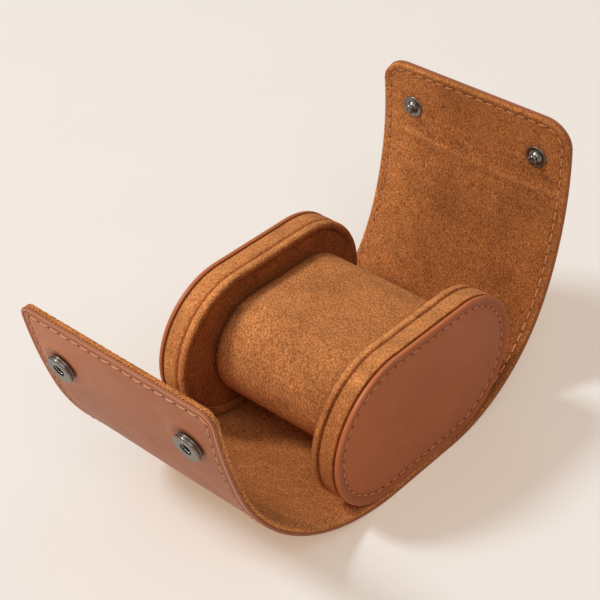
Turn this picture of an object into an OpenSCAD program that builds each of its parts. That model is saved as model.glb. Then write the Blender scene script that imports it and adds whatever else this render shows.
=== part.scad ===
// Travel case for one wristwatch, standing open: a leather wrap between two padded stadium-shaped
// end caps, a loose cushion in the bay between them, and two press studs that close the wrap.
// X runs along the cushion, Y from the front flap to the rear flap, Z up.
// The origin lies on the supporting surface, below the middle of the caps.

/* [Wrap] */
// Width of the wrap, from end face to end face
wrap_w = 88; // [80:1:100]
// Thickness of the outer leather
leather_t = 1.4; // [1.2:0.1:1.6]
// Thickness of the suede lining
lining_t = 1.2; // [1.1:0.1:1.4]
// Thickness of the board under the bay
base_board_t = 0.8; // [0.6:0.1:1.0]
// Thickness of the stiffener behind the press studs
stiffener_t = 0.5; // [0.4:0.1:0.6]
// Margin that stays free of board or stiffener along the stitched edges
stitch_margin = 7; // [5:0.5:8]
// Gap between two neighbouring strips of a flap, at the lining
strip_gap = 0.35; // [0.3:0.05:0.5]

/* [Front flap] */
// Flat length from the middle of the base to the start of the curl
front_flat = 15.5; // [14:0.5:17]
// Length of the curl that belongs to the base
front_lead = 10; // [9:0.5:11]
// Length of each of the five narrow strips
front_strip = 20; // [19:0.5:21]
// Length of the end strip, which carries the sockets
front_end = 41.5; // [38:0.5:46]
// Outer radius of the curl
front_curl_r = 91; // [88:1:100]
// Outer radius of the end strip
front_end_r = 220; // [180:5:300]
// Radius of the two free corners
front_corner_r = 5; // [3:0.5:8]
// Distance from the free edge to the sockets
socket_from_edge = 22; // [18:0.5:26]

/* [Rear flap] */
// Flat length from the middle of the base to the start of the curl
rear_flat = 19; // [17:0.5:21]
// Length of the curl that belongs to the base
rear_lead = 7; // [6:0.5:8]
// Length of each of the five narrow strips
rear_strip = 20; // [19:0.5:21]
// Length of the end strip, which carries the studs
rear_end = 43.5; // [40:0.5:48]
// Outer radius of the curl, up to the third strip
rear_curl_r = 61; // [58:1:66]
// Outer radius of the fourth strip
rear_bend_r = 90; // [80:1:110]
// Outer radius of the fifth strip and the end strip
rear_end_r = 140; // [120:5:200]
// Radius of the two free corners
rear_corner_r = 11.5; // [6:0.5:13]
// Distance from the free edge to the studs
stud_from_edge = 19.1; // [17:0.1:23]

/* [End caps] */
// Radius of the round front and rear of a cap, which is half its height
cap_r = 31.7; // [30:0.1:34]
// Length of the straight run between the two rounds
cap_straight = 39.6; // [34:0.2:44]
// Depth of a cap, from the outer face to the rolled lip
cap_depth = 13.2; // [12:0.1:14]
// Thickness of the leather end panel
panel_t = 1.4; // [1.2:0.1:1.6]
// How far the leather turns over the edge of the cap
rim_wrap = 1.6; // [1.5:0.1:2.4]
// Height of the rim and of the padded middle over the stitched channel
panel_relief = 0.7; // [0.4:0.1:1]
// Distance from the edge to the stitched channel
panel_stitch = 4.2; // [3.6:0.1:5.5]
// Thickness of the outer and of the inner board
cap_board_t = 1.2; // [1:0.1:1.5]
// Thickness of the suede band round the cap
band_t = 0.9; // [0.8:0.1:1.2]
// Radius of the rolled suede lip
lip_r = 1.8; // [1.6:0.1:2]
// Width of the stitched groove between band and lip
groove_w = 0.5; // [0.3:0.1:0.8]
// How far the inner suede panel lies below the lip
lip_rise = 1.4; // [1.2:0.1:1.8]
// Thickness of the inner suede panel
inner_panel_t = 0.9; // [0.7:0.1:1.2]

/* [Cushion] */
// Clearance between the cushion and the inner panel, at each end
cushion_end_gap = 0.4; // [0.3:0.1:0.6]
// Height of the cushion's top below the top of the caps
cushion_drop = 10; // [8:0.5:12]
// Height of the way for the strap below the cushion
strap_way = 9.8; // [8:0.2:12]
// Way for the strap in front of the cushion, to the front of the caps
front_way = 15.3; // [14:0.1:20]
// Way for the strap behind the cushion, to the rear of the caps
rear_way = 12.7; // [12:0.1:20]
// Radius of the soft edge round each end
cushion_edge_r = 4.5; // [4:0.5:6]
// Thickness of the suede cover
cover_t = 1; // [0.8:0.1:1.4]
// Thickness of the board inside each end
cushion_board_t = 1.2; // [1:0.1:1.6]

/* [Press studs] */
// Distance from the middle of the wrap to each press stud
snap_x = 29.5; // [25:0.5:31]
// Outer radius of a socket
socket_r = 5.75; // [5.5:0.05:6.5]
// Height of a socket over the leather
socket_h = 3.2; // [3:0.1:3.6]
// Radius of the hole in a socket
socket_hole_r = 2.2; // [2.15:0.05:2.4]
// Radius of the wire of the spring ring
spring_wire_r = 0.3; // [0.25:0.05:0.35]
// Radius of the posts that hold the press studs in the flaps
post_r = 1.5; // [1.3:0.05:1.6]
// Radius of the flange of a socket's post, on the lining
post_flange_r = 4.2; // [3.5:0.1:4.4]
// Radius of a stud's base
stud_base_r = 4.5; // [4.2:0.1:5]
// Thickness of a stud's base
stud_base_t = 0.9; // [0.8:0.1:1]
// Radius of a stud's head
stud_ball_r = 2; // [1.9:0.05:2.05]
// Length of a stud over its base
stud_len = 2.4; // [2.2:0.1:2.5]
// Radius of the domed cap on the outside of the rear flap
cap_button_r = 6.2; // [5.5:0.1:6.6]
// Height of that domed cap
cap_button_h = 2.2; // [1.8:0.1:2.6]

/* [Hidden] */
$fn = 96;
STRIPS = 6;
CAP_PARTS = ["panel", "board", "core", "band", "lip", "inner_board", "inner_panel"];

LEATHER = "#9c5f45";
LEATHER_DARK = "#85503a";
SUEDE = "#b0703e";
BOARD = "#c9b48a";
FOAM = "#e6e0d0";
METAL = "#8d8882";
STEEL = "#c4c2be";

eps = 0.01;
fit_gap = 0.05;
cut_over = 2;

// Wrap
wrap_t = leather_t + lining_t;
base_t = wrap_t + base_board_t;

// Each flap is a chain of arcs: length and outer radius of the lead-in and of the six strips
front_arcs = concat(
    [[front_lead, front_curl_r]],
    [for (i = [1:STRIPS - 1]) [front_strip, front_curl_r]],
    [[front_end, front_end_r]]
);
rear_arcs = concat(
    [[rear_lead, rear_curl_r]],
    [for (r = [rear_curl_r, rear_curl_r, rear_curl_r, rear_bend_r, rear_end_r]) [rear_strip, r]],
    [[rear_end, rear_end_r]]
);

// Heading of a flap at the start of arc i, in degrees over the horizontal
function heading(arcs, i) = i == 0 ? 0 : heading(arcs, i - 1) + sweep(arcs[i - 1]);
function sweep(arc) = arc[0] / arc[1] * 180 / PI;

// Point [y, z] of the outer face at the start of arc i, and the centre of that arc
function start_of(arcs, flat, i) =
    i == 0 ? [flat, 0] : on_arc(arcs, flat, i - 1, heading(arcs, i), arcs[i - 1][1]);
function centre_of(arcs, flat, i) =
    start_of(arcs, flat, i) + arcs[i][1] * [-sin(heading(arcs, i)), cos(heading(arcs, i))];
function on_arc(arcs, flat, i, angle, r) = centre_of(arcs, flat, i) + r * [sin(angle), -cos(angle)];

// Rise of a concave face of radius face_r over the reach of a round part seated on it
function seat(part_r, face_r) = part_r * part_r / (2 * face_r);

// End caps
cap_z = base_t + cap_r;
cap_half = cap_straight / 2;
cap_face_x = wrap_w / 2;
lip_x = cap_face_x - cap_depth;
lip_centre_r = cap_r - lip_r;
lip_bed = 2 * lip_r + groove_w;
inner_face_x = lip_x + lip_rise;
board_x = cap_face_x - panel_t - panel_relief - cap_board_t;
inner_board_x = inner_face_x + inner_panel_t;
core_r = cap_r - band_t;
inner_r = cap_r - 2 * lip_r - fit_gap;
panel_edge_r = 1.2;
panel_slope = [2, 6, 12];
panel_rise = [0.5, 0.9];

// Cushion
cushion_half_x = inner_face_x - cushion_end_gap;
cushion_bottom = base_t + strap_way;
cushion_top = cap_z + cap_r - cushion_drop;
cushion_r = (cushion_top - cushion_bottom) / 2;
cushion_z = (cushion_top + cushion_bottom) / 2;
cushion_front = -cap_half - cap_r + front_way;
cushion_rear = cap_half + cap_r - rear_way;
cushion_y = (cushion_front + cushion_rear) / 2;
cushion_straight = cushion_rear - cushion_front - 2 * cushion_r;

// Press studs
post_hole_r = post_r + fit_gap;
socket_floor_t = 0.4;
socket_edge_r = 0.6;
post_head_t = 0.3;
post_head_r = post_r + 0.5;
post_flange_t = 0.4;
spring_z = 1.7;
spring_open_angle = 40;
spring_r = socket_hole_r + spring_wire_r + fit_gap;
chamber_r = spring_r + spring_wire_r + fit_gap;
stud_bulb_r = 0.7;
stud_neck_r = stud_ball_r - 0.4;
stud_dish_r = stud_ball_r + 0.6;
stud_rim_w = 0.5;
stud_step_t = 0.4;
post_depth = 1.3;
stud_bore_wall = 0.35;
rear_post_r = stud_neck_r - stud_bore_wall - fit_gap;

// Sector of a ring about an arc's centre, between two depths below the outer face
module shell(arcs, flat, i, depth0, depth1, width, trim0 = 0, trim1 = 0) {
    centre = centre_of(arcs, flat, i);
    r = arcs[i][1];
    mm_to_deg = 180 / PI / (r - wrap_t);
    from = heading(arcs, i) + trim0 * mm_to_deg;
    to = heading(arcs, i + 1) - trim1 * mm_to_deg;
    translate([0, centre[0], centre[1]])
        rotate([0, 90, 0])
            rotate([0, 0, from])
                rotate_extrude(angle = to - from)
                    translate([r - depth1, -width / 2])
                        square([depth1 - depth0, width]);
}

// Places children on a flap: z along the outward normal, y towards the free edge
module on_flap(arcs, flat, i, from_end, depth) {
    angle = heading(arcs, i + 1) - from_end / arcs[i][1] * 180 / PI;
    spot = on_arc(arcs, flat, i, angle, arcs[i][1] - depth);
    translate([0, spot[0], spot[1]])
        rotate([angle, 0, 0])
            mirror([0, 0, 1])
                children();
}

module at_snaps() {
    for (side = [-1, 1])
        translate([side * snap_x, 0, 0])
            children();
}

// Outline of an end strip, with its two rounded free corners, through the whole curl
module end_outline(arcs, flat, corner_r) {
    length = arcs[STRIPS][0];
    on_flap(arcs, flat, STRIPS, 0, 0)
        translate([0, 0, -length])
            linear_extrude(2 * length) {
                translate([-wrap_w / 2, -2 * length])
                    square([wrap_w, 2 * length - corner_r]);
                translate([-wrap_w / 2 + corner_r, -2 * corner_r])
                    square([wrap_w - 2 * corner_r, 2 * corner_r]);
                for (side = [-1, 1])
                    translate([side * (wrap_w / 2 - corner_r), -corner_r])
                        circle(corner_r);
            }
}

// Holes of the two posts
module post_holes(arcs, flat, snap_from_edge) {
    on_flap(arcs, flat, STRIPS, snap_from_edge, 0)
        at_snaps()
            cylinder(r = post_hole_r, h = 4 * wrap_t, center = true);
}

// One layer of one strip; the end strip is cut from a larger sheet, to its outline
module strip(arcs, flat, i, depth0, depth1, corner_r, snap_from_edge) {
    if (i < STRIPS)
        shell(arcs, flat, i, depth0, depth1, wrap_w, strip_gap / 2, strip_gap / 2);
    else
        difference() {
            intersection() {
                shell(arcs, flat, i, depth0, depth1, wrap_w + cut_over, strip_gap / 2, -cut_over);
                end_outline(arcs, flat, corner_r);
            }
            post_holes(arcs, flat, snap_from_edge);
        }
}

// Bed of the stiffener in an end strip, round both press studs
module stiffener_bed(arcs, flat, snap_from_edge, clearance, over) {
    reach = snap_from_edge - stitch_margin;
    length = arcs[STRIPS][0];
    shell(arcs, flat, STRIPS, leather_t - over, leather_t + stiffener_t,
        wrap_w - 2 * (stitch_margin - clearance),
        length - snap_from_edge - reach - clearance, stitch_margin - clearance);
}

module flap_leather(arcs, flat, i, corner_r, snap_from_edge) {
    color(LEATHER)
        strip(arcs, flat, i, 0, leather_t, corner_r, snap_from_edge);
}

module flap_lining(arcs, flat, i, corner_r, snap_from_edge) {
    color(SUEDE)
        difference() {
            strip(arcs, flat, i, leather_t, wrap_t, corner_r, snap_from_edge);
            if (i == STRIPS)
                stiffener_bed(arcs, flat, snap_from_edge, fit_gap, leather_t);
        }
}

module flap_stiffener(arcs, flat, snap_from_edge) {
    color(BOARD)
        difference() {
            stiffener_bed(arcs, flat, snap_from_edge, 0, 0);
            post_holes(arcs, flat, snap_from_edge);
        }
}

module to_front() {
    mirror([0, 1, 0])
        children();
}

module front_leather(i) {
    to_front()
        flap_leather(front_arcs, front_flat, i, front_corner_r, socket_from_edge);
}

module front_lining(i) {
    to_front()
        flap_lining(front_arcs, front_flat, i, front_corner_r, socket_from_edge);
}

module front_stiffener() {
    to_front()
        flap_stiffener(front_arcs, front_flat, socket_from_edge);
}

module rear_leather(i) {
    flap_leather(rear_arcs, rear_flat, i, rear_corner_r, stud_from_edge);
}

module rear_lining(i) {
    flap_lining(rear_arcs, rear_flat, i, rear_corner_r, stud_from_edge);
}

module rear_stiffener() {
    flap_stiffener(rear_arcs, rear_flat, stud_from_edge);
}

// Flat middle of the wrap with the start of both curls
module base_sheet(depth0, depth1, flat_top) {
    translate([-wrap_w / 2, -front_flat, depth0])
        cube([wrap_w, front_flat + rear_flat, flat_top - depth0]);
    shell(rear_arcs, rear_flat, 0, depth0, depth1, wrap_w, 0, strip_gap / 2);
    to_front()
        shell(front_arcs, front_flat, 0, depth0, depth1, wrap_w, 0, strip_gap / 2);
}

module board_bed(clearance, over) {
    margin = stitch_margin / 2 - clearance;
    translate([-wrap_w / 2 + margin, -front_flat + margin, leather_t - over])
        cube([wrap_w - 2 * margin, front_flat + rear_flat - 2 * margin, base_board_t + over]);
}

module base_leather() {
    color(LEATHER)
        base_sheet(0, leather_t, leather_t);
}

module base_board() {
    color(BOARD)
        board_bed(0, 0);
}

module base_lining() {
    color(SUEDE)
        difference() {
            base_sheet(leather_t, wrap_t, base_t);
            board_bed(fit_gap, leather_t);
        }
}

// Solid of a stadium outline: the child profile has x as the distance from the cap's spine and
// y along the cushion; it is turned round both ends and drawn straight between them
module stadium(half, y, z) {
    translate([0, y, z])
        rotate([0, 90, 0]) {
            for (end = [0, 180])
                rotate([0, 0, end])
                    translate([0, half, 0])
                        rotate_extrude(angle = 180)
                            children();
            for (side = [0, 180])
                rotate([0, 0, side])
                    rotate([90, 0, 0])
                        linear_extrude(2 * half, center = true)
                            children();
        }
}

module cap_stadium() {
    stadium(cap_half, 0, cap_z)
        children();
}

module to_side(side) {
    if (side == "left")
        mirror([1, 0, 0])
            children();
    else
        children();
}

// Leather face: a rounded rim that turns over the edge, a stitched channel and a padded middle
module cap_panel() {
    middle_r = cap_r - panel_stitch;
    channel_x = cap_face_x - panel_relief;
    color(LEATHER_DARK)
        cap_stadium() {
            translate([0, channel_x - panel_t])
                square([cap_r - panel_edge_r, panel_t]);
            translate([cap_r - panel_edge_r, cap_face_x - rim_wrap])
                square([panel_edge_r, rim_wrap - panel_edge_r]);
            intersection() {
                translate([cap_r - panel_edge_r, cap_face_x - panel_edge_r])
                    circle(panel_edge_r);
                translate([cap_r - 2 * panel_edge_r, cap_face_x - panel_edge_r])
                    square([2 * panel_edge_r, panel_edge_r]);
            }
            polygon([
                [0, channel_x - eps],
                [middle_r, channel_x - eps],
                [middle_r - panel_slope[0], channel_x + panel_rise[0] * panel_relief],
                [middle_r - panel_slope[1], channel_x + panel_rise[1] * panel_relief],
                [middle_r - panel_slope[2], cap_face_x],
                [0, cap_face_x]
            ]);
        }
}

module cap_board() {
    color(BOARD)
        cap_stadium()
            translate([0, board_x])
                square([cap_r - panel_edge_r - fit_gap, cap_board_t]);
}

module cap_core() {
    x0 = inner_board_x + cap_board_t;
    color(FOAM)
        cap_stadium()
            difference() {
                union() {
                    translate([0, x0])
                        square([inner_r, board_x - x0]);
                    translate([0, lip_x + lip_bed])
                        square([core_r - fit_gap, board_x - lip_x - lip_bed]);
                }
                square([inner_r + fit_gap, x0]);
            }
}

module cap_band() {
    color(SUEDE)
        cap_stadium()
            translate([core_r, lip_x + lip_bed])
                square([band_t, cap_depth - lip_bed - rim_wrap]);
}

module cap_lip() {
    color(SUEDE)
        cap_stadium() {
            translate([lip_centre_r, lip_x + lip_r])
                circle(lip_r);
            translate([lip_centre_r - lip_r, lip_x + lip_r])
                square([lip_r, lip_bed - lip_r]);
        }
}

module cap_inner_board() {
    color(BOARD)
        cap_stadium()
            translate([0, inner_board_x])
                square([inner_r, cap_board_t]);
}

module cap_inner_panel() {
    color(SUEDE)
        cap_stadium()
            translate([0, inner_face_x])
                square([inner_r, inner_panel_t]);
}

module cap_part(side, part) {
    to_side(side) {
        if (part == "panel") cap_panel();
        if (part == "board") cap_board();
        if (part == "core") cap_core();
        if (part == "band") cap_band();
        if (part == "lip") cap_lip();
        if (part == "inner_board") cap_inner_board();
        if (part == "inner_panel") cap_inner_panel();
    }
}

// Half profile of the cushion, shrunk by inset: a long block with soft round edges
module cushion_profile(inset) {
    r = cushion_r - inset;
    half_x = cushion_half_x - inset;
    edge_r = cushion_edge_r - inset;
    translate([0, -half_x])
        square([r - edge_r, 2 * half_x]);
    translate([0, -half_x + edge_r])
        square([r, 2 * (half_x - edge_r)]);
    for (side = [-1, 1])
        translate([r - edge_r, side * (half_x - edge_r)])
            circle(edge_r);
}

module cushion_stadium() {
    stadium(cushion_straight / 2, cushion_y, cushion_z)
        children();
}

module cushion_cover() {
    color(SUEDE)
        difference() {
            cushion_stadium()
                cushion_profile(0);
            cushion_stadium()
                cushion_profile(cover_t);
        }
}

module cushion_core() {
    core_half = cushion_half_x - cover_t - cushion_board_t;
    color(FOAM)
        intersection() {
            cushion_stadium()
                cushion_profile(cover_t);
            cube([2 * core_half, 4 * cap_half + 4 * cap_r, 4 * cap_z], center = true);
        }
}

module cushion_end_boards() {
    board_r = cushion_r - cushion_edge_r;
    color(BOARD)
        for (side = [-1, 1])
            cushion_stadium()
                translate([0, side > 0 ? cushion_half_x - cover_t - cushion_board_t : cover_t - cushion_half_x])
                    square([board_r, cushion_board_t]);
}

module on_front_snaps(depth) {
    to_front()
        on_flap(front_arcs, front_flat, STRIPS, socket_from_edge, depth)
            at_snaps()
                children();
}

module on_rear_snaps(depth) {
    on_flap(rear_arcs, rear_flat, STRIPS, stud_from_edge, depth)
        at_snaps()
            children();
}

// Ring-shaped socket with a chamber for its spring
module snap_sockets() {
    color(METAL)
        on_front_snaps(0)
            rotate_extrude()
                difference() {
                    union() {
                        square([socket_r, socket_h - socket_edge_r]);
                        square([socket_r - socket_edge_r, socket_h]);
                        translate([socket_r - socket_edge_r, socket_h - socket_edge_r])
                            circle(socket_edge_r);
                    }
                    translate([0, socket_floor_t])
                        square([socket_hole_r, socket_h]);
                    translate([0, socket_floor_t])
                        square([chamber_r, spring_z + spring_wire_r + fit_gap - socket_floor_t]);
                    translate([0, -cut_over])
                        square([post_hole_r, 2 * cut_over]);
                }
}

module socket_springs() {
    color(STEEL)
        on_front_snaps(0)
            translate([0, 0, spring_z])
                rotate([0, 0, spring_open_angle / 2])
                    rotate_extrude(angle = 360 - spring_open_angle)
                        translate([spring_r, 0])
                            circle(spring_wire_r, $fn = 24);
}

// Post from the lining through the flap, riveted over the socket's floor
module socket_posts() {
    flange_z = -wrap_t - seat(post_flange_r, front_end_r - wrap_t);
    color(METAL)
        on_front_snaps(0) {
            translate([0, 0, flange_z - post_flange_t])
                cylinder(r = post_flange_r, h = post_flange_t);
            translate([0, 0, flange_z - eps])
                cylinder(r = post_r, h = socket_floor_t + 2 * eps - flange_z);
            translate([0, 0, socket_floor_t])
                cylinder(r = post_head_r, h = post_head_t);
        }
}

// Stud on the lining of the rear flap: a dished base, a neck and a rounded head
module snap_studs() {
    top_z = stud_base_t + stud_len;
    color(METAL)
        on_rear_snaps(wrap_t + seat(stud_base_r, rear_end_r - wrap_t))
            mirror([0, 0, 1])
                rotate_extrude()
                    difference() {
                        union() {
                            polygon([
                                [0, 0],
                                [stud_base_r, 0],
                                [stud_base_r, stud_base_t - stud_rim_w],
                                [stud_base_r - stud_rim_w, stud_base_t - stud_step_t],
                                [stud_dish_r, stud_base_t],
                                [stud_neck_r, stud_base_t + stud_step_t],
                                [0, stud_base_t + stud_step_t]
                            ]);
                            square([stud_neck_r, top_z - stud_bulb_r]);
                            square([stud_ball_r - stud_bulb_r, top_z]);
                            translate([stud_ball_r - stud_bulb_r, top_z - stud_bulb_r])
                                circle(stud_bulb_r);
                        }
                        translate([0, -cut_over])
                            square([rear_post_r + fit_gap, cut_over + post_depth]);
                    }
}

// Domed cap on the outside of the rear flap, with the post that holds the stud
module snap_caps() {
    dome_r = (pow(cap_button_r, 2) + pow(cap_button_h, 2)) / (2 * cap_button_h);
    color(METAL)
        on_rear_snaps(0) {
            rotate_extrude()
                intersection() {
                    translate([0, cap_button_h - dome_r])
                        circle(dome_r);
                    square([cap_button_r, cap_button_h]);
                }
            translate([0, 0, -wrap_t])
                cylinder(r = post_r, h = wrap_t + eps);
            translate([0, 0, -wrap_t - post_depth + fit_gap])
                cylinder(r = rear_post_r, h = post_depth);
        }
}

base_leather();
base_board();
base_lining();
for (i = [1:STRIPS]) {
    front_leather(i);
    front_lining(i);
    rear_leather(i);
    rear_lining(i);
}
front_stiffener();
rear_stiffener();
for (side = ["right", "left"])
    for (part = CAP_PARTS)
        cap_part(side, part);
cushion_cover();
cushion_core();
cushion_end_boards();
snap_sockets();
socket_springs();
socket_posts();
snap_studs();
snap_caps();
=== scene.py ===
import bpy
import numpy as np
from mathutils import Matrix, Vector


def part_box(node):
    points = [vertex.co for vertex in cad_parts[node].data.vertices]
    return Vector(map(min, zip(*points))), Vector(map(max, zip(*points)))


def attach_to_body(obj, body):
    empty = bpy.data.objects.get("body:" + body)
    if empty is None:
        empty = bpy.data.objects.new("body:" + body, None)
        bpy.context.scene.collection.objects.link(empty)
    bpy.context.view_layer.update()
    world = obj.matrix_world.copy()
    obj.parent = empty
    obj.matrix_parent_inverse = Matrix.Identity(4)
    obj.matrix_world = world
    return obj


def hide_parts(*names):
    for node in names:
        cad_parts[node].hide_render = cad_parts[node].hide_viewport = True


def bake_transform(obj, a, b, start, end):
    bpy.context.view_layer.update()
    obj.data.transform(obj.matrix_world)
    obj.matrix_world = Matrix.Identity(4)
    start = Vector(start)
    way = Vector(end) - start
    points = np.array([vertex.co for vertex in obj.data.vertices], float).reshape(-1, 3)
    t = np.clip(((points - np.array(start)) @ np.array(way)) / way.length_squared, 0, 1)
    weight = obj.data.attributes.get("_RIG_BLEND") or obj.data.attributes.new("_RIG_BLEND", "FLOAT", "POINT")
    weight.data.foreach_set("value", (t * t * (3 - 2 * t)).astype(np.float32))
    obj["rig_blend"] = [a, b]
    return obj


bl_info = {
    "name": "Watch travel case",
    "version": (1, 0, 0),
    "blender": (4, 5, 0),
    "location": "View3D > Sidebar > Watch case",
    "description": "Leather and suede travel case for one wristwatch, dressed over its packed solids",
    "category": "Object",
}

import math
from collections import namedtuple

import bmesh
import bpy
import numpy as np
from bpy.props import FloatProperty, FloatVectorProperty, IntProperty, PointerProperty
from mathutils import Vector

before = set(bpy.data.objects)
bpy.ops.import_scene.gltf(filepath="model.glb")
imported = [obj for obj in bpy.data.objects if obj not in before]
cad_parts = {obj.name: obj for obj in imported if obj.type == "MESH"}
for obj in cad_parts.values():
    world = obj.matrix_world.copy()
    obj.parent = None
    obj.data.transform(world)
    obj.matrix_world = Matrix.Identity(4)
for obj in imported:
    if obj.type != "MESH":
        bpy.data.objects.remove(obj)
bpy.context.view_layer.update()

MM = 0.001


# ---------------------------------------------------------------- settings

def size(name, description, default, low, high):
    """A length in millimetres."""
    return FloatProperty(name=name, description=description + " in mm", default=default, min=low, max=high)


def number(name, description, default, unit="NONE"):
    return FloatProperty(name=name, description=description, default=default, unit=unit)


def tint(name, description, default):
    """A colour as it looks, kept in scene-linear values."""
    shares = (value / 255 for value in default)
    linear = [c / 12.92 if c <= 0.04045 else ((c + 0.055) / 1.055) ** 2.4 for c in shares]
    return FloatVectorProperty(
        name=name, description=description, default=linear, size=3, min=0, max=1, subtype="COLOR"
    )


class WrapSettings(bpy.types.PropertyGroup):
    leather_thickness: size("Leather", "Thickness of the outer leather", 1.2, 1.0, 2.0)
    wrap_thickness: size("Leather and lining", "Thickness of a flap", 2.6, 2.0, 3.5)
    base_thickness: size("Base", "Thickness over the board, under the bay,", 3.4, 2.6, 4.5)
    half_width: size("Half width", "Half the width of the wrap", 44.0, 40.0, 50.0)
    edge_bead: size("Edge bead", "Width of the creased bead along the edge", 1.4, 1.0, 3.5)
    lining_inset: size("Lining inset", "Distance of the lining from the leather's edge", 0.2, 0.0, 1.0)
    lining_swell: size("Lining swell", "Rise of the nap along the free edges", 0.45, 0.0, 0.8)
    leather_colour: tint("Leather", "Smooth tan leather of the wrap", (178, 108, 72))
    suede_colour: tint("Suede", "Suede of the lining", (168, 99, 52))


class ThreadSettings(bpy.types.PropertyGroup):
    inset: size("Inset", "Distance from the edge to the seam", 3.3, 3.0, 6.0)
    pitch: size("Pitch", "Distance from one needle hole to the next", 4.8, 3.0, 6.0)
    cap_pitch: size("Pitch on caps", "Distance between the needle holes of an end panel", 4.55, 3.0, 6.0)
    whip_pitch: size("Whip pitch", "Distance between the stitches that close an edge", 1.6, 1.0, 3.0)
    length: size("Stitch", "Visible length of a stitch", 3.4, 2.0, 5.0)
    cap_length: size("Stitch on caps", "Visible length of a stitch on the end panels", 2.9, 2.0, 5.0)
    radius: size("Thread radius", "Half the thickness of the thread", 0.30, 0.1, 0.4)
    lining_radius: size("Radius on lining", "Half the thickness of the lining's thread", 0.36, 0.1, 0.5)
    seed: IntProperty(name="Seed", description="Choice of the small irregularities", default=4)
    leather_thread: tint("Thread on leather", "Tan thread on the leather side", (214, 150, 108))
    cap_thread: tint("Thread on caps", "Tan thread on the end panels", (205, 130, 84))
    lining_thread: tint("Thread on lining", "Tan thread on the suede side", (202, 138, 90))


class CapSettings(bpy.types.PropertyGroup):
    radius: size("Radius", "Half the height of an end cap", 31.7, 28.0, 35.0)
    half_straight: size("Half straight", "Half the straight run of an end cap", 19.8, 15.0, 25.0)
    depth: size("Depth", "Depth of an end cap", 13.2, 10.0, 15.0)
    channel: size("Channel", "Radius of the sewn channel in the end panel", 27.5, 26.0, 29.0)
    leather_colour: tint("Cap leather", "Smooth leather of the end panels", (174, 95, 53))
    suede_colour: tint("Cap suede", "Suede of the bands and lips", (211, 134, 77))


class CushionSettings(bpy.types.PropertyGroup):
    pressure: number("Filling", "Pressure of the filling", 4.0)
    slack: size("Slack", "How much smaller than its cover the filling starts,", 0.4, 0.2, 2.0)
    swell: size("Swell", "Furthest the cover may swell", 0.8, 0.2, 3.0)
    sink: size("Sink", "Furthest the cover may sink", 0.25, 0.0, 1.0)
    skin: size("Skin", "Least thickness left over the foam", 0.55, 0.2, 1.0)
    edge: size("Edge", "Radius of the soft edge round each end", 4.5, 4.0, 6.0)
    suede_colour: tint("Cushion suede", "Suede of the cushion", (192, 120, 68))


class PressStudSettings(bpy.types.PropertyGroup):
    offset: size("Offset", "Distance from the middle of the wrap", 29.5, 25.0, 31.0)
    socket_radius: size("Socket radius", "Outer radius of a socket", 5.65, 5.0, 6.5)
    socket_height: size("Socket height", "Height of a socket over the leather", 2.6, 2.4, 4.0)
    stud_radius: size("Stud radius", "Radius of a stud's base", 4.5, 4.0, 5.0)
    metal_colour: tint("Nickel", "Dark polished nickel", (134, 128, 121))


class StageSettings(bpy.types.PropertyGroup):
    azimuth: number("Azimuth", "Camera's turn round the case in degrees", 41.105)
    elevation: number("Elevation", "Camera's height in degrees", 36.58)
    distance: number("Distance", "Camera's distance in m", 0.60206, "LENGTH")
    aside: number("Aside", "Camera's shift to the right in m", -0.009732, "LENGTH")
    above: number("Above", "Camera's shift upwards in its own view in m", 0.05040, "LENGTH")
    forward: number("Forward", "Shift of what the camera looks at, to the front, in m", 0.006085, "LENGTH")
    lens: number("Lens", "Focal length in mm", 91.992, "CAMERA")
    floor_colour: tint("Floor", "Pale floor", (239, 230, 221))
    lamp_distance: number("Lamp distance", "Distance of both lamps in m", 3.5, "LENGTH")
    key_azimuth: number("Key azimuth", "Side that the key light comes from in degrees", 220.0)
    key_elevation: number("Key elevation", "Height of the key light in degrees", 50.0)
    key_size: number("Key size", "Width of the key light in m", 0.8, "LENGTH")
    key_energy: number("Key light", "Power of the soft key light in W", 69.0)
    fill_azimuth: number("Fill azimuth", "Side that the fill light comes from in degrees", 319.0)
    fill_elevation: number("Fill elevation", "Height of the fill light in degrees", 50.0)
    fill_size: number("Fill size", "Width of the fill light in m", 2.0, "LENGTH")
    fill_energy: number("Fill light", "Power of the wide fill light in W", 30.0)
    sky_strength: number("Sky", "Strength of the even studio light", 0.312)


SETTINGS = {
    "watch_wrap": WrapSettings,
    "watch_thread": ThreadSettings,
    "watch_caps": CapSettings,
    "watch_cushion": CushionSettings,
    "watch_studs": PressStudSettings,
    "watch_stage": StageSettings,
}


# ---------------------------------------------------------------- meshes

def set_light_and_wear(mesh, shading_and_wear):
    """Keeps how much each point is lightened or darkened for the leather and suede finishes: mostly painted
    light and shade, partly paler flattened nap.
    """
    values = np.asarray(shading_and_wear, np.float32)
    mesh.attributes.new("worn", "FLOAT", "POINT").data.foreach_set("value", values)


def new_piece(name, points, faces, material, slot, sharp=50.0, shading_and_wear=None):
    """A smooth-shaded object from points in millimetres; edges over sharp degrees stay sharp."""
    mesh = bpy.data.meshes.new(name)
    mesh.from_pydata((np.asarray(points, float) * MM).tolist(), [], [list(map(int, f)) for f in faces])
    if shading_and_wear is not None:
        set_light_and_wear(mesh, shading_and_wear)
    bm = bmesh.new()
    bm.from_mesh(mesh)
    bmesh.ops.remove_doubles(bm, verts=bm.verts, dist=2e-6)
    bmesh.ops.dissolve_degenerate(bm, edges=bm.edges, dist=1e-7)
    bmesh.ops.recalc_face_normals(bm, faces=bm.faces)
    bm.to_mesh(mesh)
    bm.free()
    mesh.polygons.foreach_set("use_smooth", [True] * len(mesh.polygons))
    mesh.set_sharp_from_angle(angle=math.radians(sharp))
    mesh.materials.append(material)
    obj = bpy.data.objects.new(name, mesh)
    bpy.context.scene.collection.objects.link(obj)
    return obj


def settle(piece, body, node):
    """Lets a piece ride on a body, in the place of a node of the frame."""
    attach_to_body(piece, body)
    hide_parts(node)


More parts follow.
